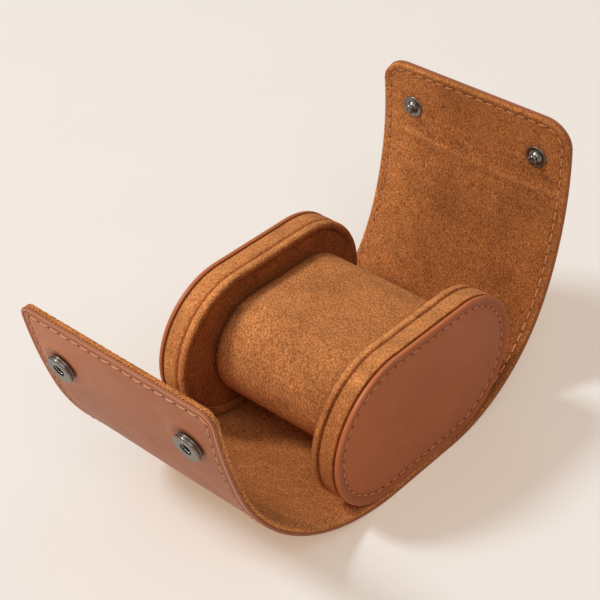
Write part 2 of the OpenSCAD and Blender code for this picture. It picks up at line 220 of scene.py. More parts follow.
def evaluated(obj):
    """The mesh that an object's modifiers make; the modifiers are then removed."""
    depsgraph = bpy.context.evaluated_depsgraph_get()
    mesh = bpy.data.meshes.new_from_object(obj.evaluated_get(depsgraph), depsgraph=depsgraph)
    obj.modifiers.clear()
    return mesh


def read(mesh, field="co"):
    """Places or normals of a mesh's points, one row each."""
    values = np.empty(len(mesh.vertices) * 3)
    mesh.vertices.foreach_get(field, values)
    return values.reshape(-1, 3)


def move_points(mesh, places):
    mesh.vertices.foreach_set("co", np.ravel(places))
    mesh.update()


def grid_faces(rows, columns, close_rows=False, close_columns=False):
    """Quads of a grid of points stored row by row."""
    r = np.arange(rows if close_rows else rows - 1)
    c = np.arange(columns if close_columns else columns - 1)
    r, c = np.meshgrid(r, c, indexing="ij")
    r1, c1 = (r + 1) % rows, (c + 1) % columns
    corners = [r * columns + c, r * columns + c1, r1 * columns + c1, r1 * columns + c]
    return np.stack(corners, -1).reshape(-1, 4)


def smooth_step(t):
    t = np.clip(t, 0, 1)
    return t * t * (3 - 2 * t)


def bump(distance, width):
    return np.exp(-(distance / width) ** 2)


def unit(vectors):
    return vectors / np.linalg.norm(vectors, axis=1)[:, None]


# Length in mm and turn in radians of the slow waves in a hand-laid skin
WAVES = ((61, 0.3), (43, 1.9), (31, 4.1), (23, 2.6), (17, 5.2))


def ripple(a, b, seed=0.0):
    """Slow unevenness of a hand-laid skin, from -1 to 1; a and b in mm."""
    total = np.zeros(np.broadcast(a, b).shape)
    for k, (wave, turn) in enumerate(WAVES):
        angle = turn + seed * (k + 1)
        across = a * math.cos(angle) + b * math.sin(angle)
        total += np.sin(across * 2 * math.pi / wave + angle * 3) * wave / 61
    return total / 2.9


# ---------------------------------------------------------------- the wrap's path

# Half the length of a strip between two hinges, and how far inside its cuts a strip's bend ends, in mm
HALF_STRIP, BEND_MARGIN = 10, 0.4


class Flap:
    """One half of the wrap: a flat run and a chain of arcs, measured from the middle of the base."""

    def __init__(self, side, sign, flat, arcs, corner, snap_from_edge, lead_hold):
        self.side, self.sign, self.flat, self.arcs = side, sign, flat, arcs
        self.corner = corner
        self.length = flat + sum(arc[0] for arc in arcs)
        self.snap_at = self.length - snap_from_edge
        hinge = flat + arcs[0][0]
        hinges = [hinge + sum(arc[0] for arc in arcs[1:k]) for k in range(1, 7)]
        self.cuts = [hinges[0] - lead_hold] + [h + HALF_STRIP for h in hinges]

    def trace(self, s):
        """Outer face at distance s: y, z and heading."""
        s = np.asarray(s, float)
        y, z, heading = np.minimum(s, self.flat), np.zeros_like(s), np.zeros_like(s)
        left = np.maximum(s - self.flat, 0)
        for k, (length, radius) in enumerate(self.arcs):
            run = left if k == len(self.arcs) - 1 else np.minimum(left, length)
            turned = heading + run / radius
            y = y + radius * (np.sin(turned) - np.sin(heading))
            z = z + radius * (np.cos(heading) - np.cos(turned))
            heading, left = turned, left - run
        return y, z, heading


FRONT = Flap("front", -1, 15.5, [(10, 91)] + [(20, 91)] * 5 + [(41.5, 220)], 5.0, 22.0, 8.0)
REAR = Flap("rear", 1, 19.0, [(7, 61)] + [(20, 61)] * 3 + [(20, 90), (20, 140), (43.5, 140)], 11.5, 19.1, 6.0)


def on_wrap(x, s, depth):
    """Point at x across and s along the wrap, depth below its outer face; s is negative to the front."""
    x, s, depth = np.broadcast_arrays(x, s, depth)
    front_y, front_z, front_heading = FRONT.trace(np.maximum(-s, 0))
    rear_y, rear_z, rear_heading = REAR.trace(np.maximum(s, 0))
    front = s < 0
    heading = np.where(front, front_heading, rear_heading)
    y = np.where(front, front_y, rear_y) - np.sin(heading) * depth
    z = np.where(front, front_z, rear_z) + np.cos(heading) * depth
    return np.stack([x, np.where(front, -y, y), z], -1)


def outward(s):
    """Unit normal of the wrap's outer face."""
    s = np.asarray(s, float)
    heading = np.where(s < 0, FRONT.trace(np.maximum(-s, 0))[2], REAR.trace(np.maximum(s, 0))[2])
    side = np.where(s < 0, -1.0, 1.0)
    return np.stack([np.zeros_like(s), side * np.sin(heading), -np.cos(heading)], -1)


def board_share(s):
    """1 where the board lies between leather and lining, running out to 0 beyond it."""
    flat = np.where(s < 0, FRONT.flat, REAR.flat)
    return 1 - smooth_step((np.abs(s) - flat + 1.0) / 4)


def segments():
    """The wrap cut across the middle of each strip: name, ends, flap, bodies, and the stretch that bends."""
    found = [("base", -FRONT.cuts[0], REAR.cuts[0], None, "case", None, None)]
    for flap in (FRONT, REAR):
        for k in range(6):
            s0, s1 = flap.cuts[k], flap.cuts[k + 1]
            before = "case" if k == 0 else f"{flap.side}_strip_{k}"
            after = f"{flap.side}_strip_{k + 1}"
            ends = [flap.sign * s for s in (s0 + BEND_MARGIN, s1 - BEND_MARGIN)]
            span = sorted((flap.sign * s0, flap.sign * s1))
            found.append((f"{flap.side}_{k + 1}", *span, flap, before, after, ends))
        span = sorted((flap.sign * flap.cuts[6], flap.sign * flap.length))
        found.append((f"{flap.side}_end", *span, flap, f"{flap.side}_strip_6", None, None))
    return found


def attach(obj, before, after, ends, depth):
    """Rides on one body, or bends between two across their hinge."""
    if after is None:
        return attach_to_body(obj, before)
    start, end = (Vector(on_wrap(0.0, s, depth) * MM) for s in ends)
    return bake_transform(obj, before, after, start, end)


# Insets in mm of the rings along an edge: fine over the rounded edge, the bead's crease and the seam
RINGS = [
    0, 0.07, 0.2, 0.4, 0.65, 0.95, 1.2, 1.4, 1.6, 1.85, 2.15, 2.5, 2.8, 3.0, 3.15, 3.3, 3.45, 3.6, 3.8,
    4.1, 4.6, 5.3, 6.2, 7.3,
]
WIDE_CORNER_RINGS = [8.4, 9.6, 10.8, 12.0]
# Points across a strip between its rings, and steps round a corner and along the tip of a free end
STRIP_POINTS, ARC_STEPS, TIP_STEPS = 59, 16, 84


def strip_layout(s0, s1, half, step):
    """Flat layout of a strip: x, s and inset of each point, and its quads."""
    inner = np.linspace(-half + RINGS[-1], half - RINGS[-1], STRIP_POINTS)
    x = np.concatenate([[-half + e for e in RINGS[:-1]], inner, [half - e for e in RINGS[:-1][::-1]]])
    s = np.linspace(s0, s1, max(3, int(round((s1 - s0) / step)) + 1))
    grid_s, grid_x = np.meshgrid(s, x, indexing="ij")
    inset = half - np.abs(grid_x)
    return grid_x.ravel(), grid_s.ravel(), inset.ravel(), grid_faces(len(s), len(x))


def end_layout(flap, s0, half, inset, step):
    """Flat layout of a free end: rings follow the two sides, the rounded corners and the tip."""
    half, length, corner = half - inset, flap.length - inset, flap.corner - inset
    rings = RINGS + (WIDE_CORNER_RINGS if corner > RINGS[-1] else [])
    last = rings[-1]
    n_side, n_arc, n_tip = int((length - s0) / step), ARC_STEPS, TIP_STEPS
    loops = []
    for e in rings:
        r = max(corner, e)
        cut, turn = length - r, max(corner - e, 0.0)
        angle = np.linspace(0, math.pi / 2, n_arc + 1)[1:-1]
        side_x, side_s = np.full(n_side + 1, -half + e), np.linspace(s0, cut, n_side + 1)
        arc_x, arc_s = -half + r - turn * np.cos(angle), cut + turn * np.sin(angle)
        tip_x = np.linspace(-half + r, half - r, n_tip + 1)
        xs = np.concatenate([side_x, arc_x, tip_x, -arc_x[::-1], -side_x[::-1]])
        ss = np.concatenate([side_s, arc_s, np.full(n_tip + 1, cut + turn), arc_s[::-1], side_s[::-1]])
        loops.append(np.stack([xs, ss, np.full(len(xs), e)], -1))
    rim = np.concatenate(loops)
    middle_x, middle_s = np.meshgrid(np.linspace(-half + last, half - last, n_tip + 1),
                                     np.linspace(s0, length - last, n_side + 1), indexing="ij")
    middle_e = np.minimum(half - np.abs(middle_x), length - middle_s)
    points = np.concatenate([rim, np.stack([middle_x.ravel(), middle_s.ravel(), middle_e.ravel()], -1)])
    faces = np.concatenate([grid_faces(len(rings), len(loops[0])),
                            grid_faces(n_tip + 1, n_side + 1) + len(rim)])
    # Collapsed corners are merged here, so that the outline's edges are found
    _, index, back = np.unique(np.round(points[:, :2], 4), axis=0, return_index=True, return_inverse=True)
    quads = back.reshape(-1)[faces]
    kept = [f for f in ([v for i, v in enumerate(q) if v != q[i - 1]] for q in quads) if len(set(f)) >= 3]
    if flap.sign > 0:
        kept = [f[::-1] for f in kept]
    x, s, e = points[index].T
    return x, s * flap.sign, e, kept


def slab(name, layout, outer, inner, material, slot, shading_and_wear):
    """A skin between two depths under the wrap's outer face, closed round its outline."""
    x, s, _, faces = layout
    count = len(x)
    points = np.concatenate([on_wrap(x, s, outer), on_wrap(x, s, inner)])
    top = [[v + count for v in f] for f in faces]
    below = [list(f)[::-1] for f in faces]
    # An edge that one face alone uses belongs to the outline
    edges = {}
    for f in faces:
        for i, v in enumerate(f):
            edge = (f[i - 1], v)
            if edge[::-1] in edges:
                del edges[edge[::-1]]
            else:
                edges[edge] = True
    walls = [[a, b, b + count, a + count] for a, b in edges]
    return new_piece(name, points, below + top + walls, material, slot, shading_and_wear=np.concatenate([shading_and_wear, shading_and_wear]))


def rounding(inset, radius):
    """How far a rounded edge lies below its face."""
    t = np.clip(radius - inset, 0, radius)
    return radius - np.sqrt(np.maximum(radius ** 2 - t ** 2, 0))


def from_snap(x, s, flap, offset):
    """Distance to the nearer press stud of a flap, along its face."""
    return np.hypot(np.abs(x) - offset, flap.snap_at - np.abs(s))


def leather_depths(x, s, e, flap, scene):
    """Depths of the leather's faces: rounded bead, its crease, the sewn channel and the studs' pull."""
    wrap, thread, offset = scene.watch_wrap, scene.watch_thread, scene.watch_studs.offset
    crease = e - wrap.edge_bead
    outer = rounding(e, 0.62) + 0.30 * bump(crease, 0.30) + 0.10 * smooth_step(crease / 0.6)
    outer = outer + 0.22 * bump(e - thread.inset, 0.60)
    lift = smooth_step((np.abs(s) - 40) / 30)
    outer = outer + (0.10 + 0.10 * ripple(x, s)) * lift * smooth_step((e - 3.7) / 2.6)
    if flap is FRONT:
        near = from_snap(x, s, flap, offset)
        outer = outer - 0.42 * bump(near - 8.0, 1.9) + 0.12 * bump(near, 6.3)
    elif flap is REAR:
        outer = outer - 0.30 * bump(from_snap(x, s, flap, offset) - 8.6, 2.2)
    inner = wrap.leather_thickness - 0.02 - rounding(e, 0.35)
    return outer, inner


def leather_highlight_and_shade(x, s, e, scene):
    """Painted highlight along the bead, painted shade in its crease and in the sewn channel, a darker line
    along the cut edge, a painted sheen on the front corner.
    """
    bead, channel = scene.watch_wrap.edge_bead, scene.watch_thread.inset
    # Painted sheen over the front flap's upper corner at negative x
    corner = smooth_step((8 - x) / 46) * smooth_step((-s - 105) / 50) * smooth_step((e - bead - 0.4) / 1.2)
    # Darker line along the cut edge; painted shade in the bead's crease and in the sewn channel
    dark = 0.6 * bump(e, 0.3) + 0.9 * bump(e - bead, 0.30) + 0.45 * bump(e - channel, 0.7)
    # Painted highlight on the bead
    return 0.95 * bump(e - 0.72, 0.45) - dark + 0.34 * corner


def ridges(x, s):
    """Two soft folds across the rear lining, at the stiffener's edge and below it, from 0 to 1."""
    first = REAR.length - 32.8 - 0.9 * np.sin(x / 15 + 0.6) - s
    second = REAR.length - 52.5 + 1.4 * np.sin(x / 19 + 2.0) - s
    broken = np.clip(0.75 + 0.45 * ripple(x * 1.4, 0 * x, 3.1), 0, 1)
    return bump(first, 1.5) * broken, bump(second, 1.3) * broken * smooth_step((22 - np.abs(x + 6)) / 16)


def fuzz(x, s):
    """Uneven nap along a cut edge of suede, from -1 to 1."""
    waves = (x * 3.1 + 1.3 * s, 2.3 * s - 1.7 * x + 2.0, x * 1.9 + 0.6, 1.6 * s + 4.0)
    return sum(np.sin(wave) for wave in waves) / 4


def lining_depths(x, s, e, flap, scene):
    """Depths of the lining's two faces: board below the bay, napped edge, sewn channel, folds."""
    wrap, thread, studs = scene.watch_wrap, scene.watch_thread, scene.watch_studs
    seam = e + wrap.lining_inset
    outer = wrap.leather_thickness + rounding(e, 0.45)
    inner = wrap.wrap_thickness + (wrap.base_thickness - wrap.wrap_thickness) * board_share(s)
    end = np.where(s < 0, FRONT.length, REAR.length)
    free = smooth_step((np.abs(s) - 34) / 20) * (0.45 + 0.55 * smooth_step((np.abs(s) - end + 14) / 8))
    inner = inner - rounding(e, 0.4) - 0.32 * bump(seam - thread.inset, 0.62)
    inner = inner + free * (wrap.lining_swell * bump(seam - 0.8, 2.0) + 0.16 * fuzz(x, s) * bump(seam, 1.6))
    field = smooth_step((seam - 3.7) / 2.6)
    inner = inner + 0.16 * ripple(x, s, 1.7) * free * field
    if flap is not None:
        near, base = from_snap(x, s, flap, studs.offset), studs.stud_radius
        inner = inner + 0.26 * bump(near - base - 2.4, 1.6) - 0.15 * bump(near, base)
    first, second = ridges(x, s)
    dip = bump(REAR.length - 37.5 - s, 2.4)
    return outer, inner + (0.42 * first - 0.14 * dip + 0.24 * second) * field


def lining_light_and_wear(x, s, e, scene):
    """Above 0 where the nap is lightened on folds, edges, bay, rear tip and left; below 0 for painted shade.
    Mostly painted light and shade, partly paler flattened nap on the folds.
    """
    across = x / scene.watch_wrap.half_width
    first, second = ridges(x, s)
    # Folds: paler flattened nap with a painted highlight along their crests; paler along the cut edge
    marks = 0.5 * first + 0.35 * second + 0.22 * bump(e - 0.5, 0.9)
    # Painted light over the bay and the front flap's lining
    bay = 0.30 * smooth_step((20 - s) / 26) + 0.16 * smooth_step((-s - 20) / 20)
    # Paler towards the rear tip, more at negative x
    tip = 0.30 * smooth_step((s - 95) / 60) * (0.6 - 0.4 * across)
    # Painted sheen on the rear flap at negative x
    left = 0.60 * smooth_step((-x - 10) / 26) * smooth_step((s - 60) / 30)
    # Painted shade low on the rear flap, deeper at positive x
    painted_shade = 0.14 * bump(s - 74, 32) * (1.4 + across)
    return np.clip(marks + bay + tip + left - painted_shade, -0.4, 1)


# ---------------------------------------------------------------- node trees

class Nodes:
    """Writes a node tree in reading order."""

    def __init__(self, tree):
        self.tree = tree

    def add(self, kind, inputs=None, **values):
        """A new node with its values, and with inputs set or linked by name or number."""
        node = self.tree.nodes.new(kind)
        for key, value in values.items():
            setattr(node, key, value)
        for key, value in (inputs or {}).items():
            self.feed(node.inputs[key], value)
        return node

    def feed(self, socket, value):
        """Links a socket to another one, or sets its value."""
        if isinstance(value, bpy.types.NodeSocket):
            self.tree.links.new(value, socket)
        else:
            socket.default_value = value

    def maths(self, operation, a, b=0.0):
        return self.add("ShaderNodeMath", {0: a, 1: b}, operation=operation).outputs[0]

    def vector_maths(self, operation, inputs):
        return self.add("ShaderNodeVectorMath", inputs, operation=operation).outputs[0]

    def ramp(self, value, low, high, at=(0.35, 0.65)):
        """Low to high while the value runs between the two numbers of at."""
        ends = {"From Min": at[0], "From Max": at[1], "To Min": low, "To Max": high}
        return self.add("ShaderNodeMapRange", {"Value": value, **ends}).outputs[0]


# ---------------------------------------------------------------- seams

# Columns of a row of a seam: place, direction, outward, needle hole or not, size, place along the seam
PLACE, ALONG, OUT = slice(0, 3), slice(3, 6), slice(6, 9)
HOLE, GROW, STATION = slice(9, 10), slice(10, 11), 11


def running_length(line):
    return np.concatenate([[0], np.cumsum(np.linalg.norm(np.diff(line, axis=0), axis=1))])


def spaced(line, pitch, offset):
    """Even stations along a line of points in mm, with its running length and their count."""
    run = running_length(line)
    count = max(2, int(round(run[-1] / pitch)))
    return run, (np.arange(count) + offset) * run[-1] / count, count


def at_stations(values, run, stations):
    return np.stack([np.interp(stations, run, column) for column in np.asarray(values).T], -1)


def seam_rows(line, normals, thread, pitch, lift):
    """Stitches along a line, and a needle hole between each two, whose dark pit is painted shade."""
    rows = []
    reach = 0.35 * thread.length
    for hole, offset in ((0.0, 0.0), (1.0, 0.5)):
        run, stations, count = spaced(line, pitch, offset)
        ahead, behind = (at_stations(line, run, np.clip(stations + d, 0, run[-1])) for d in (reach, -reach))
        out = unit(at_stations(normals, run, stations))
        place = at_stations(line, run, stations) + lift * out
        kind = np.full((count, 2), (hole, 1.0))
        rows.append(np.column_stack([place, unit(ahead - behind), out, kind, stations]))
    return np.concatenate(rows)


def whip_rows(line, across, out, pitch, grow):
    """Small dark pits laid across a closed edge: painted shade of its stitch holes and of the joint between
    the layers.
    """
    run, stations, count = spaced(line, pitch, 0.25)
    place = at_stations(line, run, stations)
    across, out = (unit(at_stations(values, run, stations)) for values in (across, out))
    return np.column_stack([place, across, out, np.full((count, 2), (1.0, grow)), stations])


def seam_tree(name, thread, hole):
    """Geometry Nodes: one low thread arch on each stitch point, one dark pit of painted shade on each needle
    hole.
    """
    tree = bpy.data.node_groups.new(name, "GeometryNodeTree")
    tree.interface.new_socket("Geometry", in_out="INPUT", socket_type="NodeSocketGeometry")
    for label, kind, default in (
        ("Stitch length", "Float", 0.0037), ("Thread radius", "Float", 0.00027), ("Arch", "Float", 0.0002),
        ("Hole size", "Float", 0.0004), ("Seed", "Int", 1),
    ):
        socket = tree.interface.new_socket(label, in_out="INPUT", socket_type=f"NodeSocket{kind}")
        socket.default_value = default
    tree.interface.new_socket("Geometry", in_out="OUTPUT", socket_type="NodeSocketGeometry")
    n = Nodes(tree)
    source = n.add("NodeGroupInput").outputs

    def point(x, z):
        return n.add("ShaderNodeCombineXYZ", {"X": x, "Z": z}).outputs[0]

    def named(label, kind):
        return n.add("GeometryNodeInputNamedAttribute", {"Name": label}, data_type=kind).outputs["Attribute"]

    def varied(low, high):
        ends = {"Min": low, "Max": high, "Seed": source["Seed"]}
        return n.add("FunctionNodeRandomValue", ends, data_type="FLOAT_VECTOR").outputs["Value"]

    # The thread dips into the cloth at both ends
    half = n.maths("MULTIPLY", source["Stitch length"], 0.5)
    low = n.maths("MULTIPLY", source["Arch"], -1.6)
    high = n.maths("MULTIPLY", source["Arch"], 2.2)
    arch = n.add("GeometryNodeCurveQuadraticBezier", {
        "Resolution": 6, "Start": point(n.maths("MULTIPLY", half, -1.0), low), "Middle": point(0, high),
        "End": point(half, low),
    })
    ring = n.add("GeometryNodeCurvePrimitiveCircle", {"Resolution": 7, "Radius": source["Thread radius"]})
    body = n.add("GeometryNodeCurveToMesh", {
        "Curve": arch.outputs[0], "Profile Curve": ring.outputs[0], "Fill Caps": True,
    })
    stitch = n.add("GeometryNodeSetShadeSmooth", {0: body.outputs[0]})
    ball = n.add("GeometryNodeMeshUVSphere", {"Segments": 8, "Rings": 4, "Radius": source["Hole size"]})
    pit = n.add("GeometryNodeTransform", {"Geometry": ball.outputs[0], "Scale": (1.25, 0.85, 0.22)})

    points = n.add("GeometryNodeMeshToPoints", {"Mesh": source["Geometry"]})
    is_hole = named("hole", "BOOLEAN")
    is_stitch = n.add("FunctionNodeBooleanMath", {0: is_hole}, operation="NOT").outputs[0]
    along = n.add("FunctionNodeAlignRotationToVector", {"Vector": named("along", "FLOAT_VECTOR")}, axis="X")
    upright = n.add("FunctionNodeAlignRotationToVector", {
        "Rotation": along.outputs[0], "Vector": named("out", "FLOAT_VECTOR"),
    }, axis="Z", pivot_axis="X")
    lay = n.add("FunctionNodeEulerToRotation", {0: varied((-0.03, -0.02, -0.07), (0.03, 0.02, 0.07))})
    turned = n.add("FunctionNodeRotateRotation", {
        "Rotation": upright.outputs[0], "Rotate By": lay.outputs[0],
    }, rotation_space="LOCAL")
    spread = varied((0.93, 0.9, 0.85), (1.04, 1.08, 1.12))
    grown = n.vector_maths("SCALE", {0: spread, "Scale": named("grow", "FLOAT")})
    join = n.add("GeometryNodeJoinGeometry")
    for shape, chosen, material in ((stitch, is_stitch, thread), (pit, is_hole, hole)):
        instances = n.add("GeometryNodeInstanceOnPoints", {
            "Points": points.outputs[0], "Selection": chosen, "Instance": shape.outputs[0],
            "Rotation": turned.outputs[0], "Scale": grown,
        })
        real = n.add("GeometryNodeRealizeInstances", {0: instances.outputs[0]})
        paint = n.add("GeometryNodeSetMaterial", {"Geometry": real.outputs[0], "Material": material})
        n.feed(join.inputs[0], paint.outputs[0])
    n.add("NodeGroupOutput", {0: join.outputs[0]})
    return tree


def sew(name, rows, tree, seed, length, radius, hole=0.28):
    """Runs the seam tree on rows in mm and returns the plain mesh of that seam."""
    mesh = bpy.data.meshes.new(name)
    mesh.from_pydata((rows[:, PLACE] * MM).tolist(), [], [])
    for label, kind, field, columns in (
        ("along", "FLOAT_VECTOR", "vector", ALONG), ("out", "FLOAT_VECTOR", "vector", OUT),
        ("hole", "BOOLEAN", "value", HOLE), ("grow", "FLOAT", "value", GROW),
    ):
        values = rows[:, columns].astype(bool if kind == "BOOLEAN" else np.float32).ravel()
        mesh.attributes.new(label, kind, "POINT").data.foreach_set(field, values)
    obj = bpy.data.objects.new(name, mesh)
    bpy.context.scene.collection.objects.link(obj)
    modifier = obj.modifiers.new("Seam", "NODES")
    modifier.node_group = tree
    sizes = {"Stitch length": length * MM, "Thread radius": radius * MM, "Arch": 0.15 * MM,
             "Hole size": hole * MM, "Seed": seed}
    for item in tree.interface.items_tree:
        if item.in_out == "INPUT" and item.name in sizes:
            modifier[item.identifier] = sizes[item.name]
    obj.data = evaluated(obj)
    for label in [a.name for a in obj.data.attributes if a.name in ("along", "out", "hole", "grow")]:
        obj.data.attributes.remove(obj.data.attributes[label])
    bpy.data.meshes.remove(mesh)
    return obj


# ---------------------------------------------------------------- materials

def rgb(colour, *gains):
    """A colour times one gain, or one for each channel, and at most 1."""
    gains = gains * 3 if len(gains) == 1 else gains or (1, 1, 1)
    return tuple(min(1.0, c * gain) for c, gain in zip(colour, gains)) + (1.0,)


class Shader(Nodes):
    """A material with one Principled surface, laid out in object coordinates."""

    def __init__(self, name):
        self.material = bpy.data.materials.new(name)
        self.material.use_nodes = True
        super().__init__(self.material.node_tree)
        self.tree.nodes.clear()
        self.output = self.add("ShaderNodeOutputMaterial")
        self.surface = self.add("ShaderNodeBsdfPrincipled")
        self.feed(self.output.inputs["Surface"], self.surface.outputs[0])
        self.place = self.add("ShaderNodeTexCoord").outputs["Object"]

    def finish(self, **inputs):
        """Sets the surface's inputs by their names in small letters and returns the material."""
        sockets = {socket.name.lower().replace(" ", "_"): socket for socket in self.surface.inputs}
        for name, value in inputs.items():
            self.feed(sockets[name], value)
        return self.material

    # Reads the point attribute of painted light and shade, in places paler flattened nap
    def worn(self):
        return self.add("ShaderNodeAttribute", attribute_name="worn").outputs["Fac"]

    def noise(self, size_mm, detail=2.0, roughness=0.5, distortion=0.0, stretch=None):
        where = self.place
        if stretch:
            where = self.add("ShaderNodeMapping", {"Vector": where, "Scale": stretch}).outputs[0]
        return self.add("ShaderNodeTexNoise", {
            "Vector": where, "Scale": 1000.0 / size_mm, "Detail": detail, "Roughness": roughness,
            "Distortion": distortion,
        }).outputs["Fac"]

    def mix(self, factor, a, b):
        return self.add("ShaderNodeMix", {0: factor, 6: a, 7: b}, data_type="RGBA").outputs[2]

    def relief(self, height, depth_mm, strength=1.0, after=None):
        inputs = {"Strength": strength, "Distance": depth_mm * MM, "Height": height}
        if after is not None:
            inputs["Normal"] = after
        return self.add("ShaderNodeBump", inputs).outputs[0]


def leather_material(name, colour, shine):
    """Smooth, lightly waxed leather: slow clouds of colour, fine pores, a soft even shine, and highlights and
    shade painted in from the point attribute.
    """
    m = Shader(name)
    clouds = m.ramp(m.noise(26, 3, 0.55, 0.4), 0, 1, (0.3, 0.7))
    tone = m.mix(clouds, rgb(colour, 0.92), rgb(colour, 1.07))
    fine = m.ramp(m.noise(1.6, 3, 0.6), 0, 0.35, (0.3, 0.7))
    tone = m.mix(fine, tone, rgb(colour, 0.86, 0.8, 0.76))
    worn = m.worn()
    # Above 0 the attribute paints a pale pinkish highlight and sheen; below 0 it paints shade
    tone = m.mix(m.ramp(worn, 0, 0.85, (0, 1)), tone, rgb(colour, 1.7, 2.0, 2.4))
    tone = m.mix(m.ramp(worn, 0, 0.75, (0, -1)), tone, rgb(colour, 0.45, 0.32, 0.25))
    dull = m.ramp(m.noise(9, 3, 0.6), 0.43, 0.55, (0.3, 0.7))
    polished = m.ramp(worn, 0, 0.20, (0, 1))
    cells = m.add("ShaderNodeTexVoronoi", {"Scale": 1000.0 / 0.55, "Vector": m.place}, feature="SMOOTH_F1")
    pores = m.relief(m.ramp(cells.outputs["Distance"], 0, 1, (0.0, 0.5)), 0.020, 0.6)
    grain = m.relief(m.noise(1.1, 4, 0.6, 0.5), 0.045, 0.7, pores)
    return m.finish(base_color=tone, roughness=m.maths("SUBTRACT", dull, polished), normal=grain,
                    specular_ior_level=shine, ior=1.47)


def suede_material(name, colour, grain, contrast):
    """Suede: short brushed nap in fine curly strokes, softly clouded, lightened and darkened by the point
    attribute: painted light and shade, and paler flattened nap on the lining's folds.
    """
    m = Shader(name)

    def strokes(size_mm, width):
        """Curly pale lines where a soft noise crosses its middle."""
        off_middle = m.maths("ABSOLUTE", m.maths("SUBTRACT", m.noise(size_mm, 1, 0.5, 0.4), 0.5))
        return m.ramp(off_middle, 1.0, 0.0, (0.0, width))

    fine = m.maths("MULTIPLY", strokes(1.2 * grain, 0.07), 0.9)
    curls = m.maths("MAXIMUM", strokes(1.75 * grain, 0.06), fine)
    nap = m.ramp(m.noise(grain, 3, 0.64, 0.2, (1.15, 0.7, 0.7)), 0, 1, (0.38, 0.62))
    level = m.maths("ADD", m.maths("MULTIPLY", curls, 0.22), m.maths("MULTIPLY", nap, 0.78))
    dark = rgb(colour, *(1 - contrast * k for k in (0.60, 0.74, 0.85)))
    light = rgb(colour, *(1 + contrast * k for k in (0.78, 1.02, 1.2)))
    tone = m.mix(m.ramp(level, 0, 1, (0.10, 0.90)), dark, light)
    clouds = m.ramp(m.noise(4.5, 3, 0.6, 0.3), 0.9, 1.1, (0.32, 0.68))
    marks = m.maths("MULTIPLY", clouds, m.ramp(m.noise(26, 3, 0.5, 1.2), 0.83, 1.0, (0.38, 0.58)))
    # The point attribute paints light and shade into the nap's colour
    light_and_wear_gain = m.vector_maths("MULTIPLY_ADD", {0: m.worn(), 1: (0.62, 0.79, 0.89), 2: (1, 1, 1)})
    light_and_wear_tone = m.vector_maths("MULTIPLY", {0: tone, 1: light_and_wear_gain})
    shade = m.vector_maths("SCALE", {0: light_and_wear_tone, "Scale": marks})
    return m.finish(base_color=shade, normal=m.relief(level, 0.20 * grain, 0.85), roughness=0.95,
                    specular_ior_level=0.06, sheen_weight=0.06, sheen_roughness=0.5,
                    sheen_tint=(1.0, 0.66, 0.36, 1.0))


def thread_material(name, colour):
    """Waxed sewing thread with its twist."""
    m = Shader(name)
    tone = m.mix(m.ramp(m.noise(0.5, 2), 0, 1), rgb(colour, 0.85), rgb(colour, 1.1))
    twist = m.relief(m.noise(0.22, 2), 0.06, 0.7)
    return m.finish(base_color=tone, normal=twist, roughness=0.6, specular_ior_level=0.3)


# Size in mm, detail and roughness of the mottling in the painted shade of a needle hole, and in board and
# foam
PIT_SPOTS, BOARD_SPOTS = (0.4, 2, 0.5), (1.5, 3, 0.6)


def mottled_material(name, colour, spots, dark, light):
    """Dull and evenly mottled: painted shade inside a needle hole or a socket's bore, compressed board or
    foam.
    """
    m = Shader(name)
    tone = m.mix(m.ramp(m.noise(*spots), 0, 1), rgb(colour, dark), rgb(colour, light))
    return m.finish(base_color=tone, roughness=0.9, specular_ior_level=0.1)


def metal_material(name, colour, rough):
    """Dark plating with fine scuffs."""
    m = Shader(name)
    tone = m.mix(m.ramp(m.noise(0.9, 4, 0.65), 0, 1, (0.3, 0.7)), rgb(colour, 0.86), rgb(colour, 1.12))
    return m.finish(
        base_color=tone,
        roughness=m.ramp(m.noise(0.5, 3, 0.6), rough * 0.75, rough * 1.35, (0.3, 0.7)),
        normal=m.relief(m.noise(0.35, 3, 0.6), 0.012, 0.6),
        metallic=1.0,
    )


def floor_material(name, colour):
    """Plain pale floor; its even brightness in the background comes from its own colour."""
    m = Shader(name)
    mottle = m.ramp(m.noise(60, 3, 0.5, 0.4), 0.985, 1.0, (0.3, 0.7))
    camera = m.add("ShaderNodeLightPath").outputs["Is Camera Ray"]
    seen = m.mix(camera, rgb(colour), rgb(colour, 0.894, 1.089, 1.271))
    m.finish(base_color=m.mix(mottle, (0, 0, 0, 1), seen), roughness=0.9, specular_ior_level=0.0)
    # The backdrop glows a little, so that its shadows stay pale and warm
    warm = [c * gain for c, gain in zip(colour, (1.483, 1.083, 0.710))] + [1.0]
    glow = m.add("ShaderNodeEmission", {"Color": warm})
    share = m.maths("MULTIPLY", camera, 0.30)
    blend = m.add("ShaderNodeMixShader", {0: share, 1: m.surface.outputs[0], 2: glow.outputs[0]})
    m.feed(m.output.inputs["Surface"], blend.outputs[0])
    return m.material


